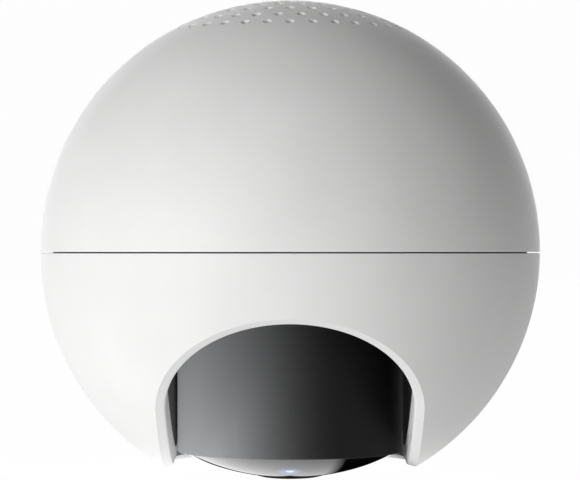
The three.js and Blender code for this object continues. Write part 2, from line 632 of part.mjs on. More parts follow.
// ---------------------------------------------------------------- frame and boards
const boardPostAngle = (i) => Math.PI / 6 + (i * 2 * Math.PI) / 3;

function frameDeck() {
  const top = FRAME_Z + FRAME_THICKNESS;
  let deck = solid(ring(TUB_RADIUS + 0.5, FRAME_RADIUS, FRAME_Z, top, CORE_FACETS));
  for (let i = 0; i < 4; i++) {
    const hole = polar(BOSS_CIRCLE, Math.PI / 4 + (i * Math.PI) / 2);
    deck = cut(deck, disc(BOSS_BORE + 0.1, FRAME_Z - 1, top + 1, HOLE_FACETS).translate(hole.x, hole.y, 0));
  }
  for (let i = 0; i < 3; i++) {
    const coreHole = polar(CORE_SCREW_CIRCLE, coreScrewAngle(i));
    const coreBore = disc(CORE_SCREW_BORE, FRAME_Z - 1, top + 1, HOLE_FACETS);
    deck = cut(deck, coreBore.translate(coreHole.x, coreHole.y, 0));
    const place = polar(BOARD_POST_CIRCLE, boardPostAngle(i));
    const post = disc(BOARD_POST_RADIUS, top - 1, BOARD_Z - CLEARANCE, 16);
    const postBore = disc(BOARD_POST_BORE, BOARD_Z - 7, BOARD_Z + 1, HOLE_FACETS);
    deck = join(deck, post.translate(place.x, place.y, 0));
    deck = cut(deck, postBore.translate(place.x, place.y, 0));
  }
  return deck;
}

function mainBoard() {
  const top = BOARD_Z + BOARD_THICKNESS;
  let plate = solid(ring(BOARD_INNER_RADIUS, BOARD_OUTER_RADIUS, BOARD_Z, top, CORE_FACETS));
  for (let i = 0; i < 3; i++) {
    const post = polar(BOARD_POST_CIRCLE, boardPostAngle(i));
    const bore = disc(BOARD_SCREW_BORE, BOARD_Z - 1, top + 1, HOLE_FACETS);
    plate = cut(plate, bore.translate(post.x, post.y, 0));
  }
  return plate;
}

// plate with upright fins
function heatSink(width, height, fins) {
  let sink = solid(box(-width / 2, width / 2, -width / 2, width / 2, 0, 2));
  const pitch = width / fins;
  for (let i = 0; i < fins; i++) {
    const x = -width / 2 + i * pitch;
    sink = join(sink, box(x, x + pitch * 0.4, -width / 2, width / 2, 1, height));
  }
  return geometryOf(sink);
}

function addFrameAndBoards() {
  const boardTop = BOARD_Z + BOARD_THICKNESS;
  const onBoard = boardTop + CLEARANCE;
  add('frame_deck', frameDeck(), blackPlastic());
  add('main_board', mainBoard(), board());
  add('processor_shield', box(-11, 11, -43, -32, onBoard, onBoard + 2.6), steel());
  add('radio_module', box(34, 46, -8, 8, onBoard, onBoard + 2.2), steel());
  add('amplifier_heat_sink', heatSink(14, 9, 5).translate(-40, 0, onBoard), material(0x8f9295, 0.4, 1));
  add('supply_capacitor', disc(4, onBoard, onBoard + 11, 16).translate(0, 40, 0), chip());
  add('antenna_left', box(-ANTENNA_X - 1, -ANTENNA_X, -10, 10, 20, 30), copper());
  add('antenna_right', box(ANTENNA_X, ANTENNA_X + 1, -10, 10, 20, 30), copper());
  for (let i = 0; i < 4; i++) {
    const place = polar(BOSS_CIRCLE, Math.PI / 4 + (i * Math.PI) / 2);
    add(`frame_screw_${i + 1}`, screw(2.6, 1.6, 1.2, 10, FRAME_Z + FRAME_THICKNESS + 0.05, place), steel());
  }
  for (let i = 0; i < 3; i++) {
    const corePlace = polar(CORE_SCREW_CIRCLE, coreScrewAngle(i));
    add(`core_screw_${i + 1}`, screw(2.2, 1.4, 1.1, 6, TUB_FLANGE_Z + TUB_FLANGE + 0.05, corePlace), steel());
    const post = polar(BOARD_POST_CIRCLE, boardPostAngle(i));
    add(`board_screw_${i + 1}`, screw(2, 1.2, 0.8, 6, boardTop + 0.05, post), steel());
  }
}

function addCrown() {
  add('sound_duct', duct(), blackPlastic());
  add('crown_cloth', crownCloth(), cloth());
  add('microphone_board', ring(26.9, 33, MIC_BOARD_Z, MIC_BOARD_Z + 1.2, CORE_FACETS), board());
  for (let i = 0; i < 3; i++) {
    const place = polar(MIC_CIRCLE, -Math.PI / 2 + (i * 2 * Math.PI) / 3);
    const boot = disc(1.1, MIC_BOARD_Z + 1.5, MIC_BOOT_TOP_Z, HOLE_FACETS).translate(place.x, place.y, 0);
    add(`microphone_boot_${i + 1}`, boot, rubber());
  }
}

// ---------------------------------------------------------------- connector panel in the back
// short cylinder or ring along Y at a place on the panel
const panelRound = (radius, minY, maxY, x) =>
  facingFront(disc(radius, -maxY, -minY, 20)).translate(x, 0, RECESS_Z);

function panelBox(halfWidth, halfHeight, minY, maxY, x) {
  return box(x - halfWidth, x + halfWidth, minY, maxY, RECESS_Z - halfHeight, RECESS_Z + halfHeight);
}

function rearPanel() {
  const halfWidth = RECESS_HALF_WIDTH - PANEL_CLEARANCE;
  const halfHeight = RECESS_HALF_HEIGHT - PANEL_CLEARANCE;
  const through = [PANEL_BACK_Y - 1, PANEL_FACE_Y + 1];
  const slotCentre = SLIDER_X + SLIDER_TRAVEL / 2;
  return cut(
    solid(panelBox(halfWidth, halfHeight, PANEL_BACK_Y, PANEL_FACE_Y, 0)),
    panelBox(4.9, 2.1, ...through, USB_X),
    panelBox(3.3, 1.5, ...through, slotCentre),
    panelRound(BUTTON_RADIUS + CLEARANCE, ...through, 0),
    panelRound(PIN_HOLE_RADIUS, ...through, 0).translate(0, 0, 5),
  );
}

function addRearPanel() {
  const boardFront = REAR_BOARD_Y + REAR_BOARD_THICKNESS;
  const onBoard = boardFront + CLEARANCE;
  add('rear_panel', rearPanel(), blackPlastic());
  add('rear_board', box(-15, 15, REAR_BOARD_Y, boardFront, RECESS_Z - 6, RECESS_Z + 6), board());
  const usbShell = cut(
    solid(panelBox(4.6, 1.8, onBoard, PANEL_FACE_Y - 0.1, USB_X)),
    panelBox(4.2, 1.4, onBoard + 0.9, PANEL_FACE_Y + 1, USB_X),
  );
  add('usb_socket_shell', usbShell, steel());
  add('usb_socket_tongue', panelBox(3.3, 0.35, onBoard + 1.2, PANEL_FACE_Y - 1.2, USB_X), blackPlastic());
  const slider = join(
    solid(panelBox(3.5, 2.2, PANEL_BACK_Y - 1.8, PANEL_BACK_Y - 0.3, SLIDER_X)),
    panelBox(1.7, 1.2, PANEL_BACK_Y - 1, PANEL_FACE_Y + 1, SLIDER_X),
  );
  add('microphone_mute_slider', slider, white());
  const button = join(
    solid(panelRound(3, PANEL_BACK_Y - 2, PANEL_BACK_Y - 0.5, 0)),
    panelRound(BUTTON_RADIUS, PANEL_BACK_Y - 1, PANEL_FACE_Y + 0.6, 0),
  );
  add('pairing_button', button, white());
  add('pairing_switch', panelBox(2.2, 2.2, onBoard, PANEL_BACK_Y - 3, 0), blackPlastic());
}

// ---------------------------------------------------------------- the object
add('upper_shell', upperShell(), white());
add('lower_shell', lowerShell(), white());
add('seam_ring', seamRing(), blackPlastic());
add('mouth_liner', mouthLiner(), blackPlastic());
addCore();
addDriver();
addCrown();
addBase();
addFrameAndBoards();
addRearPanel();

export default speaker;
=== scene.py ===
import json
import math

import bmesh
import bpy
import numpy as np
from mathutils import Matrix, Vector


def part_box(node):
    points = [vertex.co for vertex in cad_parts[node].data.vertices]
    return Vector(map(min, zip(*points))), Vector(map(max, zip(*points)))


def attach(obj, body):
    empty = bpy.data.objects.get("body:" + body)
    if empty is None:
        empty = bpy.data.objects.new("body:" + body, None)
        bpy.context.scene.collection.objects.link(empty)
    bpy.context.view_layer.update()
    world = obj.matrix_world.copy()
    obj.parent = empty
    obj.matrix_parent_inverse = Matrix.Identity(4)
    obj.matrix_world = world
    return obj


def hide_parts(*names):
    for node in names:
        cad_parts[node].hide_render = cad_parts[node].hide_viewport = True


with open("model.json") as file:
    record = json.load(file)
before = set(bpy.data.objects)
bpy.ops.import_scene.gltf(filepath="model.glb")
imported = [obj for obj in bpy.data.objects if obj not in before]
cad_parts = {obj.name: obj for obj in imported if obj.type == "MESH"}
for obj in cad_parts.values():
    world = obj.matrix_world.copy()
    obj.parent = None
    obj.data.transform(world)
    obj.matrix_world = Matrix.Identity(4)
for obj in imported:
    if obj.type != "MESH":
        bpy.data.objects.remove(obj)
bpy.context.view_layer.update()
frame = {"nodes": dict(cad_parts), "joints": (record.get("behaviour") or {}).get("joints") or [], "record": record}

# Smart speaker: a white ball with a perforated crown and an arched mouth, a dark round core and a
# glossy bowl. Shapes are made in millimetres from the ball's centre, with the front at -Y. place() turns
# them into metres in the frame.

# ---------------------------------------------------------------- frame
MM = 0.001
SEAM_DROP = 0.5  # the seam lies this far below the ball's centre
seam_height = (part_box("upper_shell")[0].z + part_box("lower_shell")[1].z) / 2
CENTRE = Vector((0, 0, seam_height + SEAM_DROP * MM))


def extent(node):
    """Lowest and highest corners of a CAD node, in millimetres from the ball's centre."""
    low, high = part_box(node)
    return (low - CENTRE) / MM, (high - CENTRE) / MM


# ---------------------------------------------------------------- driving dimensions
shell_low, shell_high = extent("upper_shell")
BALL_RADIUS = math.hypot(shell_high.x, shell_low.z)
SHELL_WALL = 2.7
INNER_RADIUS = BALL_RADIUS - SHELL_WALL
UPPER_EDGE_Z = shell_low.z
LOWER_EDGE_Z = extent("lower_shell")[1].z
SEAM_EDGE = 0.18  # softening of the seam's edges
SEAM_RING_WALL = 2
CLEARANCE = 0.3  # between neighbouring pieces
UNDER_SKIN = 1  # what joins the shell from inside ends this far under the ball's surface
EDGE = 0.3  # usual softening of a moulded edge
FINE_EDGE = 0.2
OVERCUT = 1  # cutters reach this far past what they cut
ROUND_STEPS = 192  # round the ball
ARC_STEP = math.radians(1.5)

# Rings of crown holes as (degrees from the top, holes, turn as a share of the spacing)
CROWN_RINGS = [
    (0, 1, 0), (4.75, 6, 0), (9.5, 12, 0), (14.4, 18, 0.5), (19.1, 24, 0), (24, 29, 0.5), (28.5, 34, 0),
]
CROWN_HOLE_RADIUS = 0.92
CROWN_HOLE_FLARE = 0.13
CROWN_CLOTH_EDGE = math.radians(31)
CROWN_CLOTH_THICKNESS = 0.6

MOUTH_TILT = math.radians(45)
MOUTH_HALF_WIDTH = 30.5
MOUTH_INNER_HALF_WIDTH = 28.2
MOUTH_RIM_DEPTH = 1.5
MOUTH_WALL_END_RADIUS = 73.9  # the wall ends on a flatter ball, whose centre lies behind
MOUTH_WALL_END_SHIFT = 26
MOUTH_WALL_THICKNESS = 1.8
MOUTH_LEG_LENGTH = 39
MOUTH_WALL_LEG_LENGTH = 37
MOUTH_LEG_TAPER = 0.02
MOUTH_CUT_REACH = 8  # the mouth's cutter starts this far outside the ball
MOUTH_CUT_END = 8  # depth at which the mouth's cutter and wall end, inside the ball
MOUTH_RIM_STRAIGHT = 5  # the cutter follows the ball this far behind the rim
LINER_HALF_WIDTH = 30.2
LINER_THICKNESS = 1.9
LINER_BACK_DEPTH = 10
LINER_BALL_INSET = 4  # the liner stays this far under the ball's surface

UNDERSIDE_Z = extent("lower_shell")[0].z
UNDERSIDE_BEVEL_RISE = 1.5
FLANGE_INNER_RADIUS = 27.6
FLANGE_OUTER_RADIUS = 32
FLANGE_BOTTOM_Z = -48.8
FLANGE_THICKNESS = 1.6

BOSS_CIRCLE = 48
BOSS_COUNT = 4
BOSS_RADIUS = 3
BOSS_BORE = 1.5
BOSS_BORE_DEPTH = 10
BOSS_BOTTOM_Z = -40

SLEEVE_WALL = 0.8

BOWL_RADIUS = 57.66
BOWL_CENTRE_Z = 3.12
BOWL_WALL = 1.6
BOWL_HUB_RADIUS = 9.5
BOWL_HUB_TOP_Z = -50.5
BELOW_BOWL_Z = -58  # cutters of the bowl start below it and end above its hub
ABOVE_HUB_Z = -45
POCKET_BEVEL_Z = -54.2  # the foot's pocket narrows from here up
BASE_SCREWS = 3
BASE_SCREW_HEAD_BORE = 2.1
BASE_SCREW_SEAT_Z = -52
BASE_SCREW_BORE = 1.3
LIGHT_FIT = 0.12  # gap round the light pipe
LIGHT_INSET = 0.05  # the lens lies this far under the bowl's surface

FOOT_FLAT_RADIUS = 6
FOOT_GROOVE_RADII = (2.4, 4.2)
FOOT_GROOVE_WIDTH = 0.5
FOOT_GROOVE_DEPTH = 0.25

RECESS_Z = -20
RECESS_HALF_WIDTH = 17
RECESS_HALF_HEIGHT = 8
RECESS_CORNER = 3
RECESS_WALL = 1.5
RECESS_FLARE = 0.35
RECESS_COLLAR_LENGTH = 5  # the collar starts this far inside the panel's face

# Openings of the rear panel, as (half width, half height) and corner radius
USB_OPENING = ((4.9, 2.1), 2.0)
SLIDER_OPENING = ((3.3, 1.5), 0.6)
KEY_OPENING_RADIUS = 2.6
PIN_HOLE_RADIUS = 0.6
PIN_HOLE_RISE = 5
USB_WALL = 0.4
USB_FLOOR = 1.9
CONTACTS_PER_SIDE = 8
CONTACT_PITCH = 0.7
CONTACT_SIZE = (0.26, 3.1, 0.04)
CONTACT_EDGE = 0.01
CONTACT_TIP = 0.5  # from the tongue's tip to the contacts
SLIDER_BASE = 1.5  # thickness behind the panel
GRIP_SIZE = (1.7, 1.2)
GRIP_ROOT = 0.8  # the grip starts this deep in the base
GRIP_GROOVES = 3
GRIP_GROOVE_PITCH = 0.8
GRIP_GROOVE_SIZE = (0.3, 0.2)
KEY_RADIUS = 2.3
KEY_DISH = 0.3
KEY_COLLAR_RADIUS = 3
KEY_COLLAR = 1.5

BEND_MIDDLE = 0.29  # inset of a rounded edge's middle, as a share of its radius
NEARLY = 0.01  # kept between a round outline's corners


# ---------------------------------------------------------------- outlines
def soften(points, steps=4):
    """Points with their corners rounded. A point is its coordinates and the length cut off each side
    of it."""
    rounded = []
    for i, (*corner, cut) in enumerate(points):
        corner = np.array(corner, float)
        if not cut or i in (0, len(points) - 1):
            rounded.append(tuple(corner))
            continue
        before = np.array(points[i - 1][:-1], float) - corner
        after = np.array(points[i + 1][:-1], float) - corner
        start = corner + before * cut / np.linalg.norm(before)
        end = corner + after * cut / np.linalg.norm(after)
        for t in np.linspace(0, 1, steps + 1):
            rounded.append(tuple((1 - t) ** 2 * start + 2 * t * (1 - t) * corner + t**2 * end))
    return rounded


def polar_angle(radius, z):
    """Angle from the top at which a ball's surface reaches a height."""
    return math.acos(z / radius)


def arc(radius, centre_z, start, end):
    """(radius, z, 0) points on a ball's surface, from one polar angle to another."""
    steps = max(2, round(abs(end - start) / ARC_STEP))
    angles = np.linspace(start, end, steps + 1)
    return [(radius * math.sin(a), centre_z + radius * math.cos(a), 0) for a in angles]


def half_outline(half_width, leg_length):
    """U outline of the mouth as (x, v), with v up along the tilted plane."""
    legs = np.linspace(leg_length, 0, 25)[:-1]
    right = [(half_width - MOUTH_LEG_TAPER * leg, -leg) for leg in legs]
    top = [(half_width * math.cos(a), half_width * math.sin(a)) for a in np.linspace(0, math.pi, 97)]
    return right + top + [(-x, v) for x, v in reversed(right)]


def rectangle_outline(half_width, half_height, corner, corner_steps=8):
    """Rectangle with round corners, as (a, b)."""
    points = []
    for quarter in range(4):
        sign_a = (1, -1, -1, 1)[quarter]
        sign_b = (1, 1, -1, -1)[quarter]
        for k in range(corner_steps + 1):
            angle = (quarter + k / corner_steps) * math.pi / 2
            a = sign_a * (half_width - corner) + corner * math.cos(angle)
            b = sign_b * (half_height - corner) + corner * math.sin(angle)
            points.append((a, b))
    return points


def on_ball(radius, behind=0.0, centre_b=0.0):
    """Depth of a ball's surface over (a, b), less a distance behind it."""
    return lambda a, b: math.sqrt(radius**2 - a**2 - (b + centre_b) ** 2) - behind


# ---------------------------------------------------------------- solids
def mesh_object(name, bm):
    bmesh.ops.recalc_face_normals(bm, faces=bm.faces)
    mesh = bpy.data.meshes.new(name)
    bm.to_mesh(mesh)
    bm.free()
    obj = bpy.data.objects.new(name, mesh)
    bpy.context.scene.collection.objects.link(obj)
    return obj


def skin(bm, loops, closed):
    """Faces between neighbouring loops of vertices; a loop of one vertex is a pole."""
    pairs = list(zip(loops, loops[1:]))
    if closed:
        pairs.append((loops[-1], loops[0]))
    for lower, upper in pairs:
        count = max(len(lower), len(upper))
        for i in range(count):
            j = (i + 1) % count
            if len(lower) == 1:
                corners = (lower[0], upper[j], upper[i])
            elif len(upper) == 1:
                corners = (lower[i], lower[j], upper[0])
            else:
                corners = (lower[i], lower[j], upper[j], upper[i])
            bm.faces.new(corners)


def lathe(name, points, segments=ROUND_STEPS):
    """Solid of revolution about Z from (radius, z, softening) points. They run from the axis back to
    the axis, or end where they start."""
    bm = bmesh.new()
    loops = []
    profile = soften(points)
    closed = profile[0] == profile[-1]
    for radius, z in profile[:-1] if closed else profile:
        if radius < 1e-6:
            loops.append([bm.verts.new((0, 0, z))])
            continue
        angles = [2 * math.pi * i / segments for i in range(segments)]
        loops.append([bm.verts.new((radius * math.cos(a), radius * math.sin(a), z)) for a in angles])
    skin(bm, loops, closed)
    return mesh_object(name, bm)


def band(name, points):
    """Ring of revolution. Its outline starts halfway along its last side, so that every corner can be
    softened."""
    (first_radius, first_z, _), (last_radius, last_z, _) = points[0], points[-1]
    middle = ((first_radius + last_radius) / 2, (first_z + last_z) / 2, 0)
    return lathe(name, [middle, *points, middle])


def tube(name, inner, outer, low_z, high_z, inner_edge, outer_edge):
    """Upright tube, with its edges softened."""
    return band(name, [
        (inner, low_z, inner_edge), (outer, low_z, outer_edge),
        (outer, high_z, outer_edge), (inner, high_z, inner_edge),
    ])


def loft(name, sections, place):
    """Closed solid through outlines. A section is (outline, depth), where depth is a length or a
    function of (a, b)."""
    bm = bmesh.new()
    loops = []
    for outline, depth in sections:
        deep = depth if callable(depth) else (lambda a, b, level=depth: level)
        loops.append([bm.verts.new(place(a, b, deep(a, b))) for a, b in outline])
    skin(bm, loops, closed=False)
    bm.faces.new(list(reversed(loops[0])))
    bm.faces.new(loops[-1])
    return mesh_object(name, bm)


def tilted(x, v, depth):
    """Mouth coordinates to the ball's: v points up and forward, depth down and forward."""
    sin, cos = math.sin(MOUTH_TILT), math.cos(MOUTH_TILT)
    return (x, -(depth * cos + v * sin), -depth * sin + v * cos)


def at_back(x, z, depth):
    """Rear panel coordinates: depth is the distance behind the ball's centre."""
    return (x, depth, z + RECESS_Z)


def apply_modifiers(obj):
    bpy.context.view_layer.update()
    graph = bpy.context.evaluated_depsgraph_get()
    mesh = bpy.data.meshes.new_from_object(obj.evaluated_get(graph))
    old = obj.data
    obj.modifiers.clear()
    obj.data = mesh
    bpy.data.meshes.remove(old)


def combine(obj, other, operation):
    """obj joined with, cut by or kept within other, which is used up."""
    modifier = obj.modifiers.new(operation, "BOOLEAN")
    modifier.operation = operation
    modifier.solver = "MANIFOLD"
    modifier.object = other
    apply_modifiers(obj)
    bpy.data.objects.remove(other)
    return obj


def merged(name, objects):
    """One object holding the meshes of several that don't touch."""
    bm = bmesh.new()
    for obj in objects:
        obj.data.transform(obj.matrix_basis)
        bm.from_mesh(obj.data)
        bpy.data.objects.remove(obj)
    return mesh_object(name, bm)


def moved(obj, offset=(0, 0, 0), turn=None):
    obj.data.transform(Matrix.Translation(offset) @ (turn.to_4x4() if turn else Matrix.Identity(4)))
    return obj


def block(name, low, high, edge=0.0):
    """Box between two corners, with its edges rounded."""
    bm = bmesh.new()
    bmesh.ops.create_cube(bm, size=1)
    low, high = Vector(low), Vector(high)
    bmesh.ops.scale(bm, vec=high - low, verts=bm.verts)
    bmesh.ops.translate(bm, vec=(low + high) / 2, verts=bm.verts)
    if edge:
        bmesh.ops.bevel(bm, geom=bm.edges[:], offset=edge, segments=3, profile=0.5, affect="EDGES")
    return mesh_object(name, bm)


def slab(low_z, high_z):
    reach = BALL_RADIUS + 10
    return block("slab", (-reach, -reach, low_z), (reach, reach, high_z))


def ball(radius):
    return lathe("ball", arc(radius, 0, 0, math.pi))


def kept_under_skin(obj):
    return combine(obj, ball(BALL_RADIUS - UNDER_SKIN), "INTERSECT")


def drill(name, profile, centre, segments):
    """Upright cutter from (radius, z) steps, on the axis through a point."""
    points = [(0, profile[0][1], 0), *((radius, z, 0) for radius, z in profile), (0, profile[-1][1], 0)]
    return moved(lathe(name, points, segments), (*centre[:2], 0))


# ---------------------------------------------------------------- shading of a finished mesh
ON_SURFACE = 0.012  # farthest a vertex of the faceted ball lies from its true surface
SAME_WAY = math.cos(math.radians(9))


def shade(obj, spheres=(), sharp=38):
    """Smooth shading with crisp corners; faces that lie on a true sphere take its exact normals.
    A sphere is (centre z, radius, 1 facing out or -1 facing in)."""
    mesh = obj.data
    mesh.shade_smooth()
    mesh.set_sharp_from_angle(angle=math.radians(sharp))
    weighted = obj.modifiers.new("weighted", "WEIGHTED_NORMAL")
    weighted.keep_sharp = True
    apply_modifiers(obj)
    mesh = obj.data
    if not spheres:
        return obj
    count = len(mesh.loops)
    normals = np.empty(count * 3)
    mesh.corner_normals.foreach_get("vector", normals)
    normals = normals.reshape(-1, 3)
    points = np.empty(len(mesh.vertices) * 3)
    mesh.vertices.foreach_get("co", points)
    vertex = np.empty(count, int)
    mesh.loops.foreach_get("vertex_index", vertex)
    points = points.reshape(-1, 3)[vertex]
    sizes = np.empty(len(mesh.polygons), int)
    mesh.polygons.foreach_get("loop_total", sizes)
    facing = np.empty(len(mesh.polygons) * 3)
    mesh.polygons.foreach_get("normal", facing)
    facing = np.repeat(facing.reshape(-1, 3), sizes, axis=0)
    for centre_z, radius, side in spheres:
        away = points - (0, 0, centre_z)
        distance = np.linalg.norm(away, axis=1)
        radial = side * away / distance[:, None]
        on = (abs(distance - radius) < ON_SURFACE) & ((radial * facing).sum(1) > SAME_WAY)
        normals[on] = radial[on]
    mesh.normals_split_custom_set(normals)
    return obj


def place(obj, body, slot, *nodes):
    """obj goes into the frame in metres, rides on a body, and stands for CAD nodes."""
    obj.data.transform(Matrix.Translation(CENTRE) @ Matrix.Scale(MM, 4))
    obj.data.materials.clear()
    obj.data.materials.append(finish_of(slot))
    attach(obj, body)
    if nodes:
        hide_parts(*nodes)
    return obj


# ---------------------------------------------------------------- materials
class Graph:
    """A node material being built on one Principled shader."""

    def __init__(self, name):
        self.material = bpy.data.materials.new(name)
        self.material.use_nodes = True
        self.tree = self.material.node_tree
        self.shader = next(n for n in self.tree.nodes if n.type == "BSDF_PRINCIPLED")
        self.coordinates = self.tree.nodes.new("ShaderNodeTexCoord").outputs["Object"]

    def node(self, kind, inputs=(), **settings):
        made = self.tree.nodes.new(kind)
        for key, value in settings.items():
            setattr(made, key, value)
        for key, value in dict(inputs).items():
            if isinstance(value, bpy.types.NodeSocket):
                self.tree.links.new(value, made.inputs[key])
            else:
                made.inputs[key].default_value = value
        return made

    def set(self, **values):
        for key, value in values.items():
            socket = self.shader.inputs[key.replace("_", " ")]
            if isinstance(value, bpy.types.NodeSocket):
                self.tree.links.new(value, socket)
            else:
                socket.default_value = value

    def stretched(self, scale):
        return self.node("ShaderNodeMapping", {"Vector": self.coordinates, "Scale": scale}).outputs["Vector"]

    def noise(self, size, detail=2.0, vector=None):
        """Noise from 0 to 1 with features about size metres wide."""
        inputs = {"Vector": vector or self.coordinates, "Scale": 1 / size, "Detail": detail}
        return self.node("ShaderNodeTexNoise", inputs).outputs["Fac"]

    def remap(self, value, low, high, start=0.35, end=0.65):
        inputs = {"Value": value, "From Min": start, "From Max": end, "To Min": low, "To Max": high}
        return self.node("ShaderNodeMapRange", inputs).outputs["Result"]

    def math(self, operation, first, second):
        return self.node("ShaderNodeMath", {0: first, 1: second}, operation=operation).outputs[0]

    def blend(self, factor, first, second):
        mix = self.node("ShaderNodeMix", {"Factor": factor}, data_type="RGBA")
        mix.inputs[6].default_value = (*first, 1)
        mix.inputs[7].default_value = (*second, 1)
        return mix.outputs[2]

    def bump(self, height, depth, strength=1.0, under=None):
        """Relief of that depth in metres."""
        inputs = {"Height": height, "Distance": depth, "Strength": strength}
        if under:
            inputs["Normal"] = under
        return self.node("ShaderNodeBump", inputs).outputs["Normal"]


def tinted(color, share):
    return tuple(min(1, c * share) for c in color)


def moulded(name, color, roughness, grain=0.00035, relief=0.000006, spread=0.05, specular=0.5):
    """Moulded plastic or rubber: spark-eroded grain, and cloudy changes of tone and gloss."""
    g = Graph(name)
    clouds = g.noise(0.018, 3)
    fine = g.noise(grain, 3)
    g.set(
        Base_Color=g.blend(g.remap(clouds, 0, 1), tinted(color, 0.985), tinted(color, 1.015)),
        Roughness=g.remap(g.math("ADD", g.math("MULTIPLY", clouds, 0.5), g.math("MULTIPLY", fine, 0.5)),
                          roughness - spread, roughness + spread),
        Normal=g.bump(fine, relief),
    )
    g.shader.inputs["Specular IOR Level"].default_value = specular
    return g


def white_shell():
    g = moulded("white_shell", (0.80, 0.80, 0.795), 0.5, grain=0.0004, relief=0.000004, specular=0.35)
    g.set(Subsurface_Weight=0.06, Subsurface_Scale=0.0015)
    g.shader.inputs["Subsurface Radius"].default_value = (1, 0.9, 0.8)
    return g.material


def dark_sleeve():
    g = moulded("dark_sleeve", (0.012, 0.0122, 0.0125), 0.5, grain=0.00028, relief=0.00003, specular=0.12)
    return g.material


def from_status_light(g):
    """Distance in metres from the middle of the status light's face."""
    low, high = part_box("status_light_pipe")
    middle = ((low[0] + high[0]) / 2, (low[1] + high[1]) / 2, low[2])
    inputs = {0: g.coordinates, 1: middle}
    return g.node("ShaderNodeVectorMath", inputs, operation="DISTANCE").outputs["Value"]


def black_gloss():
    """Piano black: polished, with hairlines so fine that they only soften the reflection here and there,
    and a painted glow round the status light's lens: emission on the bowl itself that stands in for the light's
    spill."""
    g = Graph("black_gloss")
    hairlines = g.noise(0.0006, 4, g.stretched((1, 14, 14)))
    wipe = g.noise(0.02, 3)
    # painted glow: the bowl's own surface glows blue close to the status light's lens
    painted_glow = g.remap(from_status_light(g), 1, 0, 0.0009, 0.0038)
    g.set(
        Base_Color=g.blend(g.remap(wipe, 0, 1), (0.0035, 0.0035, 0.004), (0.005, 0.005, 0.0055)),
        Roughness=g.remap(g.math("MULTIPLY", hairlines, wipe), 0.03, 0.07, 0.15, 0.4),
        Normal=g.bump(wipe, 0.00002, 0.25),
        Coat_Weight=1.0,
        Coat_Roughness=0.02,
        Emission_Color=(0.2, 0.42, 0.9, 1),
        # the bowl's emission is a painted glow of the status light, not a lamp
        Emission_Strength=g.math("MULTIPLY", painted_glow, g.math("MULTIPLY", painted_glow, 0.9)),
    )
    g.shader.inputs["Coat IOR"].default_value = 1.5
    return g.material


def black_plastic():
    g = moulded("black_plastic", (0.012, 0.012, 0.013), 0.55, grain=0.0003, relief=0.00002, spread=0.07)
    return g.material


def grey_plastic():
    return moulded("grey_plastic", (0.09, 0.095, 0.10), 0.55, grain=0.0004, relief=0.00002).material


def white_control():
    return moulded("white_control", (0.78, 0.78, 0.775), 0.4, grain=0.0003, relief=0.000006).material


def rubber():
    g = moulded("rubber", (0.018, 0.018, 0.019), 0.82, grain=0.0002, relief=0.00003, spread=0.08,
                specular=0.3)
    return g.material


def cloth():
    """Plain-woven acoustic cloth: two crossing sets of round threads, with slubs."""
    g = Graph("cloth")
    thread = 0.0004
    waves = []
    for axis in ("X", "Y"):
        inputs = {"Vector": g.coordinates, "Scale": 0.5 / thread, "Distortion": 0.6, "Detail": 1.0}
        waves.append(g.node("ShaderNodeTexWave", inputs, bands_direction=axis).outputs["Fac"])
    weave = g.math("MAXIMUM", *waves)
    slubs = g.noise(0.0012, 2)
    g.set(
        Base_Color=g.blend(g.math("MULTIPLY", weave, slubs), (0.006, 0.006, 0.0065), (0.035, 0.035, 0.037)),
        Roughness=g.remap(slubs, 0.85, 1.0),
        Normal=g.bump(weave, 0.0002, 0.8),
        Sheen_Weight=0.15,
    )
    return g.material


def cone_paper():
    g = Graph("cone")
    fibres = g.noise(0.0006, 6, g.stretched((1, 1, 3)))
    g.set(
        Base_Color=g.blend(g.remap(fibres, 0, 1), (0.012, 0.012, 0.013), (0.035, 0.034, 0.033)),
        Roughness=g.remap(fibres, 0.7, 0.95),
        Normal=g.bump(fibres, 0.0001, 0.7),
    )
    return g.material


def metal(name, color, roughness, lines, relief=0.000003, metallic=1.0):
    """Metal with a drawn or turned finish: fine lines along the short side of the stretch."""
    g = Graph(name)
    drawn = g.noise(0.0008, 4, g.stretched(lines))
    stains = g.noise(0.006, 3)
    g.set(
        Base_Color=g.blend(g.remap(stains, 0, 1), tinted(color, 0.9), tinted(color, 1.06)),
        Metallic=metallic,
        Roughness=g.remap(g.math("ADD", g.math("MULTIPLY", drawn, 0.6), g.math("MULTIPLY", stains, 0.4)),
                          roughness - 0.1, roughness + 0.12),
        Normal=g.bump(drawn, relief),
    )
    return g.material


def ferrite():
    g = Graph("ferrite")
    grains = g.noise(0.0005, 8)
    chips = g.node("ShaderNodeTexVoronoi", {"Vector": g.coordinates, "Scale": 900.0}).outputs["Distance"]
    g.set(
        Base_Color=g.blend(g.remap(grains, 0, 1), (0.025, 0.026, 0.028), (0.06, 0.06, 0.064)),
        Roughness=g.remap(grains, 0.6, 0.85),
        Normal=g.bump(g.math("MULTIPLY", grains, chips), 0.00012, 0.6),
    )
    return g.material


def circuit_board():
    """Green solder mask over copper tracks, which show as faint raised lanes."""
    g = Graph("board")
    inputs = {
        "Vector": g.coordinates, "Scale": 260.0, "Mortar Size": 0.035, "Mortar Smooth": 0.3, "Bias": 0.0,
    }
    tracks = g.node("ShaderNodeTexBrick", inputs, offset=0.37, squash=0.6).outputs["Fac"]
    clouds = g.noise(0.004, 3)
    g.set(
        Base_Color=g.blend(g.math("MULTIPLY", tracks, 0.8), (0.008, 0.075, 0.035), (0.03, 0.17, 0.07)),
        Roughness=g.remap(clouds, 0.28, 0.45),
        Normal=g.bump(tracks, 0.00003, 0.6),
    )
    return g.material


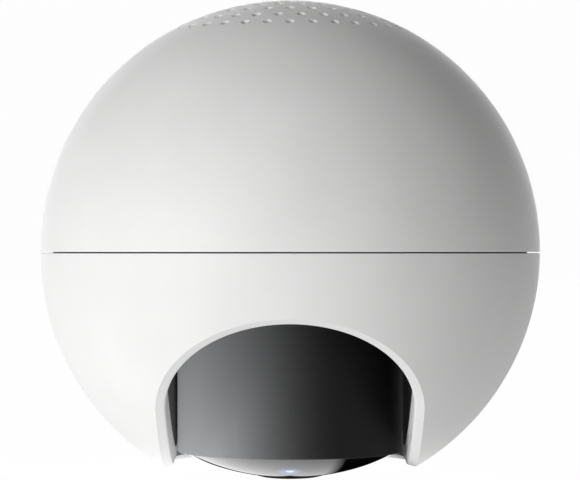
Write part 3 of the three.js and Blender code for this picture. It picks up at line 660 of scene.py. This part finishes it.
def lit_lens():
    """Frosted light pipe, brighter at its middle."""
    g = Graph("light")
    frost = g.noise(0.0002, 3)
    g.set(
        Base_Color=g.blend(frost, (0.55, 0.68, 0.85), (0.65, 0.76, 0.9)),
        Roughness=g.remap(frost, 0.3, 0.5),
        Normal=g.bump(frost, 0.00001),
        Emission_Color=(0.26, 0.46, 0.86, 1),
        Emission_Strength=g.remap(from_status_light(g), 1.0, 0.25, 0.0003, 0.0013),
    )
    return g.material


FINISHES = {
    "white_shell": white_shell,
    "white_control": white_control,
    "black_plastic": black_plastic,
    "grey_plastic": grey_plastic,
    "dark_sleeve": dark_sleeve,
    "black_gloss": black_gloss,
    "light": lit_lens,
    "rubber": rubber,
    "cloth": cloth,
    "cone": cone_paper,
    "steel": lambda: metal("steel", (0.46, 0.46, 0.47), 0.34, (1, 1, 18)),
    "tinned_can": lambda: metal("tinned_can", (0.62, 0.62, 0.61), 0.3, (1, 12, 1)),
    "ferrite": ferrite,
    "aluminium": lambda: metal("aluminium", (0.7, 0.71, 0.72), 0.38, (14, 1, 1)),
    "board": circuit_board,
    "copper": lambda: metal("copper", (0.72, 0.42, 0.26), 0.3, (1, 16, 1)),
}
made_finishes = {}


def finish_of(slot):
    if slot not in made_finishes:
        made_finishes[slot] = FINISHES[slot]()
    return made_finishes[slot]


def finish_cad_nodes():
    """Every CAD node takes the procedural material of its slot."""
    for part in frame["record"]["subparts"]:
        node = frame["nodes"][part["node"]]
        node.data.materials.clear()
        node.data.materials.append(finish_of(part["material_slot"]))


# ---------------------------------------------------------------- shells
def crown_holes():
    """Cutter for the perforation: one pin for each hole, flared at the surface."""
    top = BALL_RADIUS
    flared = CROWN_HOLE_RADIUS + CROWN_HOLE_FLARE
    pin_profile = [
        (0, INNER_RADIUS - OVERCUT, 0),
        (CROWN_HOLE_RADIUS, INNER_RADIUS - OVERCUT, 0),
        (CROWN_HOLE_RADIUS, top - 2 * CROWN_HOLE_FLARE, CROWN_HOLE_FLARE),
        (flared, top, 0),
        (flared, top + OVERCUT, 0),
        (0, top + OVERCUT, 0),
    ]
    pins = []
    for degrees, count, offset in CROWN_RINGS:
        for i in range(count):
            azimuth = -math.pi / 2 + (i + offset) * 2 * math.pi / count
            turn = Matrix.Rotation(azimuth, 3, "Z") @ Matrix.Rotation(math.radians(degrees), 3, "Y")
            pins.append(moved(lathe("pin", pin_profile, 24), turn=turn))
    return merged("crown_holes", pins)


def build_upper_shell():
    outer = arc(BALL_RADIUS, 0, 0, polar_angle(BALL_RADIUS, UPPER_EDGE_Z))
    inner = arc(INNER_RADIUS, 0, polar_angle(INNER_RADIUS, UPPER_EDGE_Z), 0)
    outer[-1] = (*outer[-1][:2], SEAM_EDGE)
    shell = combine(lathe("shell_top", outer + inner), crown_holes(), "DIFFERENCE")
    shade(shell, [(0, BALL_RADIUS, 1), (0, INNER_RADIUS, -1)])
    return place(shell, "cabinet", "white_shell", "upper_shell")


def mouth_sections(corners):
    """Loft sections for the mouth from (half width, radius of the ball they lie on, distance behind,
    softening)."""
    return [(half_outline(width, MOUTH_LEG_LENGTH), on_ball(radius, behind))
            for width, radius, behind in soften(corners, 5)]


def mouth_cutter():
    rim_radius = BALL_RADIUS - MOUTH_RIM_DEPTH
    outer_width = MOUTH_HALF_WIDTH + EDGE
    corners = [
        (outer_width, BALL_RADIUS, -2 * EDGE, 0),
        (MOUTH_HALF_WIDTH, BALL_RADIUS, 0, 0.35),
        (MOUTH_INNER_HALF_WIDTH, rim_radius, 0, 0.6),
        (MOUTH_INNER_HALF_WIDTH, rim_radius, MOUTH_RIM_STRAIGHT, 0),
    ]
    beyond = (half_outline(outer_width, MOUTH_LEG_LENGTH), BALL_RADIUS + MOUTH_CUT_REACH)
    within = (half_outline(MOUTH_INNER_HALF_WIDTH, MOUTH_LEG_LENGTH), MOUTH_CUT_END)
    return loft("mouth_cutter", [beyond, *mouth_sections(corners), within], tilted)


def mouth_wall():
    outline = half_outline(MOUTH_INNER_HALF_WIDTH + MOUTH_WALL_THICKNESS, MOUTH_WALL_LEG_LENGTH)
    front = on_ball(INNER_RADIUS + SHELL_WALL / 2)
    wall = loft("mouth_wall", [(outline, front), (outline, MOUTH_CUT_END)], tilted)
    combine(wall, wall_end_ball(0), "DIFFERENCE")
    return combine(wall, slab(UNDERSIDE_Z + UNDERSIDE_BEVEL_RISE, 0), "INTERSECT")


def wall_end_ball(behind):
    """Ball whose surface the mouth's wall ends on, moved a distance farther behind."""
    return moved(ball(MOUTH_WALL_END_RADIUS), tilted(0, 0, -MOUTH_WALL_END_SHIFT - behind))


def recess_outline(margin):
    return rectangle_outline(RECESS_HALF_WIDTH + margin, RECESS_HALF_HEIGHT + margin, RECESS_CORNER + margin)


def recess_collar(start_y):
    outline = recess_outline(RECESS_WALL)
    return kept_under_skin(loft("collar", [(outline, start_y), (outline, BALL_RADIUS)], at_back))


def recess_cutter(start_y):
    """Cutter for the recess, widened along a bend where it meets the ball's surface."""
    sections = [(recess_outline(0), start_y)]
    for wider, behind in ((0, 1), (0.13, 0.5), (0.5, 0.13), (1, 0)):  # shares of the flare
        depth = on_ball(BALL_RADIUS, RECESS_FLARE * behind, RECESS_Z)
        sections.append((recess_outline(RECESS_FLARE * wider), depth))
    sections.append((recess_outline(RECESS_FLARE), BALL_RADIUS + OVERCUT))
    return loft("recess_cutter", sections, at_back)


def frame_bosses():
    top = extent("frame_deck")[0].z - CLEARANCE
    bore_end = top - BOSS_BORE_DEPTH
    profile = [
        (0, BOSS_BOTTOM_Z, 0), (BOSS_RADIUS, BOSS_BOTTOM_Z, 0), (BOSS_RADIUS, top, EDGE),
        (BOSS_BORE, top, FINE_EDGE), (BOSS_BORE, bore_end, 0), (0, bore_end, 0),
    ]
    bosses = []
    for i in range(BOSS_COUNT):
        angle = (i + 0.5) * 2 * math.pi / BOSS_COUNT
        centre = (BOSS_CIRCLE * math.cos(angle), BOSS_CIRCLE * math.sin(angle), 0)
        bosses.append(moved(lathe("boss", profile, 32), centre))
    return kept_under_skin(merged("bosses", bosses))


def build_lower_shell():
    outer_end = polar_angle(BALL_RADIUS, UNDERSIDE_Z)
    inner_end = polar_angle(INNER_RADIUS, UNDERSIDE_Z + UNDERSIDE_BEVEL_RISE)
    outer = arc(BALL_RADIUS, 0, outer_end, polar_angle(BALL_RADIUS, LOWER_EDGE_Z))
    inner = arc(INNER_RADIUS, 0, polar_angle(INNER_RADIUS, LOWER_EDGE_Z), inner_end)
    outer[0] = (*outer[0][:2], 0.25)
    outer[-1] = (*outer[-1][:2], SEAM_EDGE)
    shell = band("shell_bottom", outer + inner)
    combine(shell, mouth_wall(), "UNION")
    start_y = extent("rear_panel")[1].y - RECESS_COLLAR_LENGTH
    combine(shell, recess_collar(start_y), "UNION")
    flange_top = FLANGE_BOTTOM_Z + FLANGE_THICKNESS
    flange = tube("flange", FLANGE_INNER_RADIUS, FLANGE_OUTER_RADIUS, FLANGE_BOTTOM_Z, flange_top, EDGE, 0)
    combine(shell, flange, "UNION")
    combine(shell, frame_bosses(), "UNION")
    combine(shell, recess_cutter(start_y - OVERCUT), "DIFFERENCE")
    combine(shell, mouth_cutter(), "DIFFERENCE")
    shade(shell, [(0, BALL_RADIUS, 1), (0, INNER_RADIUS, -1)])
    return place(shell, "cabinet", "white_shell", "lower_shell")


def build_seam_band():
    low, high = extent("seam_ring")
    ring = tube("seam_band", high.x - SEAM_RING_WALL, high.x, low.z, high.z, EDGE, EDGE)
    return place(shade(ring), "cabinet", "black_plastic", "seam_ring")


def build_mouth_lining():
    outer = half_outline(LINER_HALF_WIDTH, MOUTH_WALL_LEG_LENGTH)
    inner = half_outline(LINER_HALF_WIDTH - LINER_THICKNESS, MOUTH_LEG_LENGTH)
    lining = loft("mouth_lining", [(outer, BALL_RADIUS), (outer, LINER_BACK_DEPTH)], tilted)
    combine(lining, wall_end_ball(CLEARANCE), "INTERSECT")
    combine(lining, loft("bore", [(inner, BALL_RADIUS + OVERCUT), (inner, 2)], tilted), "DIFFERENCE")
    low, high = extent("mouth_liner")
    combine(lining, slab(low.z, high.z), "INTERSECT")
    combine(lining, ball(BALL_RADIUS - LINER_BALL_INSET), "INTERSECT")
    return place(shade(lining), "cabinet", "black_plastic", "mouth_liner")


# ---------------------------------------------------------------- core and base
def build_core_cover():
    low, high = extent("core_sleeve")
    cover = tube("core_cover", high.x - SLEEVE_WALL, high.x, low.z, high.z, FINE_EDGE, EDGE)
    return place(shade(cover), "cabinet", "dark_sleeve", "core_sleeve")


def foot_pocket():
    """Cutter for the foot's pocket in the bowl, a little wider at its mouth."""
    high = extent("foot_pad")[1]
    radius = high.x + CLEARANCE
    mouth_radius = radius + FINE_EDGE
    top = high.z + CLEARANCE
    profile = [
        (mouth_radius, BELOW_BOWL_Z), (mouth_radius, POCKET_BEVEL_Z),
        (radius, top - FINE_EDGE), (radius, top),
    ]
    return drill("pocket", profile, (0, 0), 96)


def build_base_dish():
    rim_radius = extent("base_bowl")[1].x
    outer_edge = math.pi - math.asin(rim_radius / BOWL_RADIUS)
    rim_z = BOWL_CENTRE_Z + BOWL_RADIUS * math.cos(outer_edge)
    inner_sphere = BOWL_RADIUS - BOWL_WALL
    outer = arc(BOWL_RADIUS, BOWL_CENTRE_Z, math.pi, outer_edge)
    outer[-1] = (*outer[-1][:2], 0.25)
    outer[0] = (0, outer[0][1], 0)
    hub_angle = math.pi - math.asin(BOWL_HUB_RADIUS / inner_sphere)
    inner = arc(inner_sphere, BOWL_CENTRE_Z, polar_angle(inner_sphere, rim_z - BOWL_CENTRE_Z), hub_angle)
    inner[0] = (*inner[0][:2], FINE_EDGE)
    hub = [(BOWL_HUB_RADIUS, BOWL_HUB_TOP_Z, FINE_EDGE), (0, BOWL_HUB_TOP_Z, 0)]
    dish = lathe("base_dish", outer + inner + hub)
    combine(dish, foot_pocket(), "DIFFERENCE")
    light_low, light_high = extent("status_light_pipe")
    bore_radius = light_high.x + LIGHT_FIT
    bore = [(bore_radius, BELOW_BOWL_Z), (bore_radius, ABOVE_HUB_Z)]
    combine(dish, drill("bore", bore, (0, (light_low.y + light_high.y) / 2), 48), "DIFFERENCE")
    seat = [
        (BASE_SCREW_HEAD_BORE, BELOW_BOWL_Z), (BASE_SCREW_HEAD_BORE, BASE_SCREW_SEAT_Z),
        (BASE_SCREW_BORE, BASE_SCREW_SEAT_Z), (BASE_SCREW_BORE, ABOVE_HUB_Z),
    ]
    seats = []
    for i in range(BASE_SCREWS):
        low, high = extent(f"base_screw_{i + 1}")
        seats.append(drill("seat", seat, (low + high) / 2, 32))
    combine(dish, merged("seats", seats), "DIFFERENCE")
    shade(dish, [(BOWL_CENTRE_Z, BOWL_RADIUS, 1), (BOWL_CENTRE_Z, inner_sphere, -1)])
    return place(dish, "cabinet", "black_gloss", "base_bowl")


def build_light_lens():
    low, high = extent("status_light_pipe")
    profile = [
        (0, BELOW_BOWL_Z, 0), (high.x, BELOW_BOWL_Z, 0), (high.x, high.z, FINE_EDGE), (0, high.z, 0),
    ]
    pipe = moved(lathe("light_lens", profile, 64), (0, (low.y + high.y) / 2, 0))
    dome = lathe("dome", arc(BOWL_RADIUS - LIGHT_INSET, BOWL_CENTRE_Z, 0, math.pi))
    combine(pipe, dome, "INTERSECT")
    return place(shade(pipe), "cabinet", "light", "status_light_pipe")


def build_foot():
    """Rubber foot with a rounded edge and two shallow grooves in its resting face."""
    low, high = extent("foot_pad")
    bottom, slope, softening = low.z, 0.1, 0.08
    points = [(0, bottom, 0)]
    for radius in FOOT_GROOVE_RADII:
        points += [
            (radius, bottom, softening),
            (radius + slope, bottom + FOOT_GROOVE_DEPTH, softening),
            (radius + FOOT_GROOVE_WIDTH, bottom + FOOT_GROOVE_DEPTH, softening),
            (radius + FOOT_GROOVE_WIDTH + slope, bottom, softening),
        ]
    turn = (high.x + 2 * FOOT_FLAT_RADIUS) / 3
    points += [
        (FOOT_FLAT_RADIUS, bottom, 0.1), (turn, bottom + slope, 0.1), (high.x, high.z - FINE_EDGE, 0.05),
        (high.x, high.z, 0.05), (0, high.z, 0),
    ]
    return place(shade(lathe("foot", points, 128)), "cabinet", "rubber", "foot_pad")


def build_crown_fabric():
    radius = extent("crown_cloth")[1].z
    outer = arc(radius, 0, 0, CROWN_CLOTH_EDGE)
    inner = arc(radius - CROWN_CLOTH_THICKNESS, 0, CROWN_CLOTH_EDGE, 0)
    outer[-1] = (*outer[-1][:2], 0.15)
    return place(shade(lathe("crown_fabric", outer + inner)), "cabinet", "cloth", "crown_cloth")


# ---------------------------------------------------------------- back panel
def centred_outline(size, corner, margin, centre):
    """Rounded rectangle of a (half width, half height) about a centre, grown by a margin."""
    half_width, half_height = size
    points = rectangle_outline(half_width + margin, half_height + margin, max(corner + margin, 0.05))
    return [(a + centre[0], b + centre[1]) for a, b in points]


def plate(name, size, corner, back, face, edge, centre=(0, 0)):
    """Upright plate with a rounded outline and softened edges, between two depths."""
    bend = edge * BEND_MIDDLE
    steps = [
        (-edge, back), (-bend, back + bend), (0, back + edge),
        (0, face - edge), (-bend, face - bend), (-edge, face),
    ]
    sections = [(centred_outline(size, corner, margin, centre), depth) for margin, depth in steps]
    return loft(name, sections, at_back)


def opening(size, corner, back, face, flare, centre=(0, 0)):
    """Cutter for a hole through the panel, flared where it meets the face."""
    bend = flare * 0.3
    steps = [
        (0, back - OVERCUT), (0, face - flare), (bend, face - bend), (flare, face), (flare, face + OVERCUT),
    ]
    sections = [(centred_outline(size, corner, margin, centre), depth) for margin, depth in steps]
    return loft("opening", sections, at_back)


def round_opening(radius, back, face, flare, centre=(0, 0)):
    return opening((radius, radius), radius - NEARLY, back, face, flare, centre)


def upright_middle(low, high):
    """Middle of a node of the back panel, level with the recess's middle."""
    return ((low.x + high.x) / 2, 0)


def upright_size(low, high):
    """Half width and half height."""
    return ((high.x - low.x) / 2, (high.z - low.z) / 2)


def joint_travel(name):
    """Length of a slide joint's range, in millimetres."""
    joint = next(j for j in frame["joints"] if j["name"] == name)
    low, high = joint["range_m"]
    return (high - low) / MM


def build_back_panel():
    low, high = extent("rear_panel")
    back, face = low.y, high.y
    corner = RECESS_CORNER - 0.4
    panel = plate("back_panel", (high.x, high.z - RECESS_Z), corner, back, face, EDGE)
    socket_middle = upright_middle(*extent("usb_socket_shell"))
    slider_x, slider_rise = upright_middle(*extent("microphone_mute_slider"))
    slot_middle = (slider_x + joint_travel("mute_slide") / 2, slider_rise)
    for cutter in (
        opening(*USB_OPENING, back, face, EDGE, socket_middle),
        opening(*SLIDER_OPENING, back, face, FINE_EDGE, slot_middle),
        round_opening(KEY_OPENING_RADIUS, back, face, FINE_EDGE),
        round_opening(PIN_HOLE_RADIUS, back, face, 0.15, (0, PIN_HOLE_RISE)),
    ):
        combine(panel, cutter, "DIFFERENCE")
    return place(shade(panel), "cabinet", "black_plastic", "rear_panel")


def build_socket():
    low, high = extent("usb_socket_shell")
    centre = upright_middle(low, high)
    half_width, half_height = upright_size(low, high)
    shell = plate("socket_shell", (half_width, half_height), half_height, low.y, high.y, 0.1, centre)
    bore = (half_width - USB_WALL, half_height - USB_WALL)
    bore_cutter = opening(bore, bore[1] - NEARLY, low.y + USB_FLOOR, high.y, 0.15, centre)
    combine(shell, bore_cutter, "DIFFERENCE")
    place(shade(shell), "cabinet", "tinned_can", "usb_socket_shell")
    low, high = extent("usb_socket_tongue")
    tongue = plate("socket_tongue", upright_size(low, high), 0.2, low.y, high.y, 0.1, centre)
    place(shade(tongue), "cabinet", "black_plastic", "usb_socket_tongue")
    place(socket_contacts(low, high, centre[0]), "cabinet", "copper")


def socket_contacts(low, high, middle_x):
    """Contacts on both sides of the socket's tongue."""
    width, length, thickness = CONTACT_SIZE
    half_height = upright_size(low, high)[1]
    tip_y = high.y - CONTACT_TIP
    contacts = []
    for side in (-1, 1):
        level = RECESS_Z + side * (half_height + thickness / 2)
        for i in range(CONTACTS_PER_SIDE):
            x = middle_x + (i - (CONTACTS_PER_SIDE - 1) / 2) * CONTACT_PITCH
            low_corner = (x - width / 2, tip_y - length, level - thickness / 2)
            high_corner = (x + width / 2, tip_y, level + thickness / 2)
            contacts.append(block("contact", low_corner, high_corner, CONTACT_EDGE))
    return merged("socket_contacts", contacts)


def build_mute_switch():
    low, high = extent("microphone_mute_slider")
    centre = upright_middle(low, high)
    base_front = low.y + SLIDER_BASE
    base = plate("mute_switch", upright_size(low, high), 0.4, low.y, base_front, 0.15, centre)
    combine(base, plate("grip", GRIP_SIZE, 0.5, base_front - GRIP_ROOT, high.y, 0.25, centre), "UNION")
    width, depth = GRIP_GROOVE_SIZE
    reach = 2 * GRIP_SIZE[1]
    grooves = []
    for i in range(GRIP_GROOVES):
        x = centre[0] + (i - (GRIP_GROOVES - 1) / 2) * GRIP_GROOVE_PITCH
        low_corner = (x - width / 2, high.y - depth, RECESS_Z - reach)
        high_corner = (x + width / 2, high.y + OVERCUT, RECESS_Z + reach)
        grooves.append(block("groove", low_corner, high_corner, 0.06))
    combine(base, merged("grooves", grooves), "DIFFERENCE")
    return place(shade(base), "mute_slider", "white_control", "microphone_mute_slider")


def build_pairing_key():
    """Round key with a shallow dish in its face and a collar behind the panel."""
    low, high = extent("pairing_button")
    length = high.y - low.y
    points = [
        (0, 0, 0), (KEY_COLLAR_RADIUS, 0, FINE_EDGE), (KEY_COLLAR_RADIUS, KEY_COLLAR, FINE_EDGE),
        (KEY_RADIUS, KEY_COLLAR, 0), (KEY_RADIUS, length, 0.35), (1.7, length - 0.05, 0.3),
        (0.9, length - 0.25, 0.3), (0, length - KEY_DISH, 0),
    ]
    key = lathe("pairing_key_cap", points, 64)
    moved(key, (0, low.y, RECESS_Z), Matrix.Rotation(-math.pi / 2, 3, "X"))
    return place(shade(key), "pairing_key", "white_control", "pairing_button")


# ---------------------------------------------------------------- stage, light and camera
CAMERA_DISTANCE = 10 * BALL_RADIUS * MM
LENS_MM = 154.4
AIM_UP = math.radians(0.24)
WHITE = 0.985


# The two planes of the floor as (name, height in metres, seen by the camera)
FLOORS = [("floor", -0.0002, True), ("floor_bounce", 0.0, False)]
FLOOR_SIZE = 4

# Glow of the floor that lights the object, with painted shadows, painted shade and a painted pool of light in it;
# distances in metres from the foot's middle
FLOOR_GLOW = 0.92
FLOOR_GLOW_RIGHT = 0.68  # share of the glow left on the right, away from the key light
FLOOR_GLOW_SPAN = 0.06
# painted pool of light: more glow close to the object
CLOSE_GLOW = 1.4  # glow close to the object, as a share of that farther away
CLOSE_REACH = (0.034, 0.045)  # it fades between these distances
# painted shade under the bowl
UNDER_GLOW = 0.5  # share of the glow left under the right side of the bowl
UNDER_SPAN = (-0.02, 0.0125)  # it fades between these places from left to right
UNDER_REACH = (0.022, 0.026)
# painted shadow of the bowl, right of the foot
SHADOW_EDGE_X = 0.0086
SHADOW_SLANT = 0.28
SHADOW_DEPTH = 0.013
SHADOW_SOFTNESS = 0.002
SHADOW_REACH = (0.028, 0.031)
# painted contact shadow of the foot
CONTACT_START = 0.0087  # the contact shadow starts this far in front of the foot's middle
CONTACT_FLARE = 0.6
CONTACT_SOFTNESS = 0.0005
CONTACT_REACH = (0.025, 0.028)


def build_floor():
    """Pale floor, clear from below. The camera sees a plain white plane. The object is lit by another,
    which it mirrors, and whose glow carries painted shadows where the object would shade it."""
    for name, height, seen in FLOORS:
        bm = bmesh.new()
        bmesh.ops.create_grid(bm, x_segments=8, y_segments=8, size=FLOOR_SIZE)
        floor = mesh_object(name, bm)
        floor.location.z = height
        for ray in ("visible_diffuse", "visible_glossy", "visible_transmission", "visible_shadow"):
            setattr(floor, ray, not seen)
        floor.visible_camera = seen
        g = Graph(name)
        g.set(Base_Color=(0.02, 0.02, 0.02, 1), Roughness=1.0, Emission_Color=(1, 1, 1, 1))
        g.shader.inputs["Specular IOR Level"].default_value = 0
        g.set(Emission_Strength=WHITE if seen else shadowed_glow(g))
        backfacing = g.node("ShaderNodeNewGeometry").outputs["Backfacing"]
        g.set(Alpha=g.math("SUBTRACT", 1, backfacing))
        floor.data.materials.append(g.material)


def shadowed_glow(g):
    """Strength of the floor's light, with light and shade painted into it: less on the right, a painted pool of
    light close to the object, painted shade under the right side of the bowl, and none in its painted contact
    shadow, which lies right of the foot, and from just in front of it backwards."""
    spot = g.node("ShaderNodeSeparateXYZ", {"Vector": g.coordinates})
    x, y = spot.outputs["X"], spot.outputs["Y"]
    distance = g.node("ShaderNodeVectorMath", {0: g.coordinates}, operation="LENGTH").outputs["Value"]
    # painted shadow of the bowl, right of the foot
    slanted = g.math("ADD", x, g.math("MULTIPLY", y, SHADOW_SLANT))
    beside = g.remap(slanted, 0, 1, SHADOW_EDGE_X - SHADOW_SOFTNESS, SHADOW_EDGE_X + SHADOW_SOFTNESS)
    in_front = g.remap(y, 1, 0, SHADOW_DEPTH, SHADOW_DEPTH + SHADOW_SOFTNESS)
    side = g.math("MULTIPLY", g.math("MULTIPLY", beside, in_front), g.remap(distance, 1, 0, *SHADOW_REACH))
    # painted contact shadow, from just in front of the foot backwards
    flared = g.math("ADD", y, g.math("MULTIPLY", g.math("ABSOLUTE", x, 0), -CONTACT_FLARE))
    past_start = g.remap(flared, 0, 1, -CONTACT_START - CONTACT_SOFTNESS, -CONTACT_START + CONTACT_SOFTNESS)
    contact = g.math("MULTIPLY", past_start, g.remap(distance, 1, 0, *CONTACT_REACH))
    unshadowed = g.math("SUBTRACT", 1, g.math("MAXIMUM", side, contact))
    across = g.remap(x, FLOOR_GLOW, FLOOR_GLOW * FLOOR_GLOW_RIGHT, -FLOOR_GLOW_SPAN, FLOOR_GLOW_SPAN)
    # painted pool of light: the glow is stronger close to the object
    close = g.remap(distance, CLOSE_GLOW, 1, *CLOSE_REACH)
    # painted shade: the glow halves under the right side of the bowl
    from_left = g.remap(x, 1, UNDER_GLOW, *UNDER_SPAN)
    under = g.math("MAXIMUM", from_left, g.remap(distance, 0, 1, *UNDER_REACH))
    strength = g.math("MULTIPLY", g.math("MULTIPLY", across, close), under)
    return g.math("MULTIPLY", strength, unshadowed)


# Soft lights as (direction towards the light, strength, sharpness of its edge)
SOFT_LIGHTS = [
    ((-1, -1, 0), 11.0, 16),  # large key at the left front
    ((0, 1, 0), 4.4, 8),  # rim light from behind
]
AMBIENT = 0.12


def build_light():
    """Studio world: white to the camera, and a few broad soft lights to the object."""
    world = bpy.data.worlds.new("studio")
    bpy.context.scene.world = world
    world.use_nodes = True
    nodes, links = world.node_tree.nodes, world.node_tree.links
    direction = nodes.new("ShaderNodeTexCoord").outputs["Generated"]
    total = None
    for towards, strength, sharpness in SOFT_LIGHTS:
        dot = nodes.new("ShaderNodeVectorMath")
        dot.operation = "DOT_PRODUCT"
        links.new(direction, dot.inputs[0])
        dot.inputs[1].default_value = Vector(towards).normalized()
        value = dot.outputs["Value"]
        for operation, amount in (("MAXIMUM", 0), ("POWER", sharpness), ("MULTIPLY", strength)):
            step = nodes.new("ShaderNodeMath")
            step.operation = operation
            links.new(value, step.inputs[0])
            step.inputs[1].default_value = amount
            value = step.outputs[0]
        add = nodes.new("ShaderNodeMath")
        add.operation = "ADD"
        links.new(value, add.inputs[0])
        if total is None:
            add.inputs[1].default_value = AMBIENT
        else:
            links.new(total, add.inputs[1])
        total = add.outputs[0]
    background = nodes["Background"]
    backdrop = nodes.new("ShaderNodeBackground")
    backdrop.inputs["Strength"].default_value = WHITE
    backdrop.inputs["Color"].default_value = (1, 1, 1, 1)
    background.inputs["Color"].default_value = (1, 1, 1, 1)
    links.new(total, background.inputs["Strength"])
    mix = nodes.new("ShaderNodeMixShader")
    links.new(nodes.new("ShaderNodeLightPath").outputs["Is Camera Ray"], mix.inputs[0])
    links.new(background.outputs[0], mix.inputs[1])
    links.new(backdrop.outputs[0], mix.inputs[2])
    links.new(mix.outputs[0], nodes["World Output"].inputs["Surface"])


# Small lights on the core's sleeve as (name, place, place aimed at, diameter, watts), in
# millimetres from the ball's centre
CORE_LIGHTS = [
    ("core_key", (-72, -36, -78), (0, 0, -38), 60, 1.6),
    ("core_rim", (60, 62, -80), (12, 0, -46), 30, 0.6),
]


def build_core_lights(core):
    """Low softboxes at the left and behind on the right that light only the core's sleeve."""
    lit = bpy.data.collections.new("lit_by_core_lights")
    lit.objects.link(core)
    for name, place_mm, aim_mm, diameter, watts in CORE_LIGHTS:
        data = bpy.data.lights.new(name, "AREA")
        data.shape = "DISK"
        data.size = diameter * MM
        data.energy = watts
        lamp = bpy.data.objects.new(name, data)
        bpy.context.scene.collection.objects.link(lamp)
        lamp.location = CENTRE + Vector(place_mm) * MM
        lamp.rotation_euler = (Vector(aim_mm) - Vector(place_mm)).to_track_quat("-Z", "Y").to_euler()
        lamp.visible_camera = False
        lamp.visible_glossy = False
        lamp.light_linking.receiver_collection = lit
        lamp.light_linking.blocker_collection = lit


def build_camera():
    data = bpy.data.cameras.new("camera")
    data.lens = LENS_MM
    data.sensor_width = 36
    data.clip_start = 0.01
    camera = bpy.data.objects.new("camera", data)
    bpy.context.scene.collection.objects.link(camera)
    camera.location = (0, -CAMERA_DISTANCE, CENTRE.z)
    camera.rotation_euler = (math.pi / 2 + AIM_UP, 0, 0)
    bpy.context.scene.camera = camera


bpy.context.scene.view_settings.view_transform = "Standard"
build_camera()
build_light()
build_floor()
finish_cad_nodes()
build_upper_shell()
build_lower_shell()
build_seam_band()
build_mouth_lining()
build_core_lights(build_core_cover())
build_base_dish()
build_light_lens()
build_foot()
build_crown_fabric()
build_back_panel()
build_socket()
build_mute_switch()
build_pairing_key()
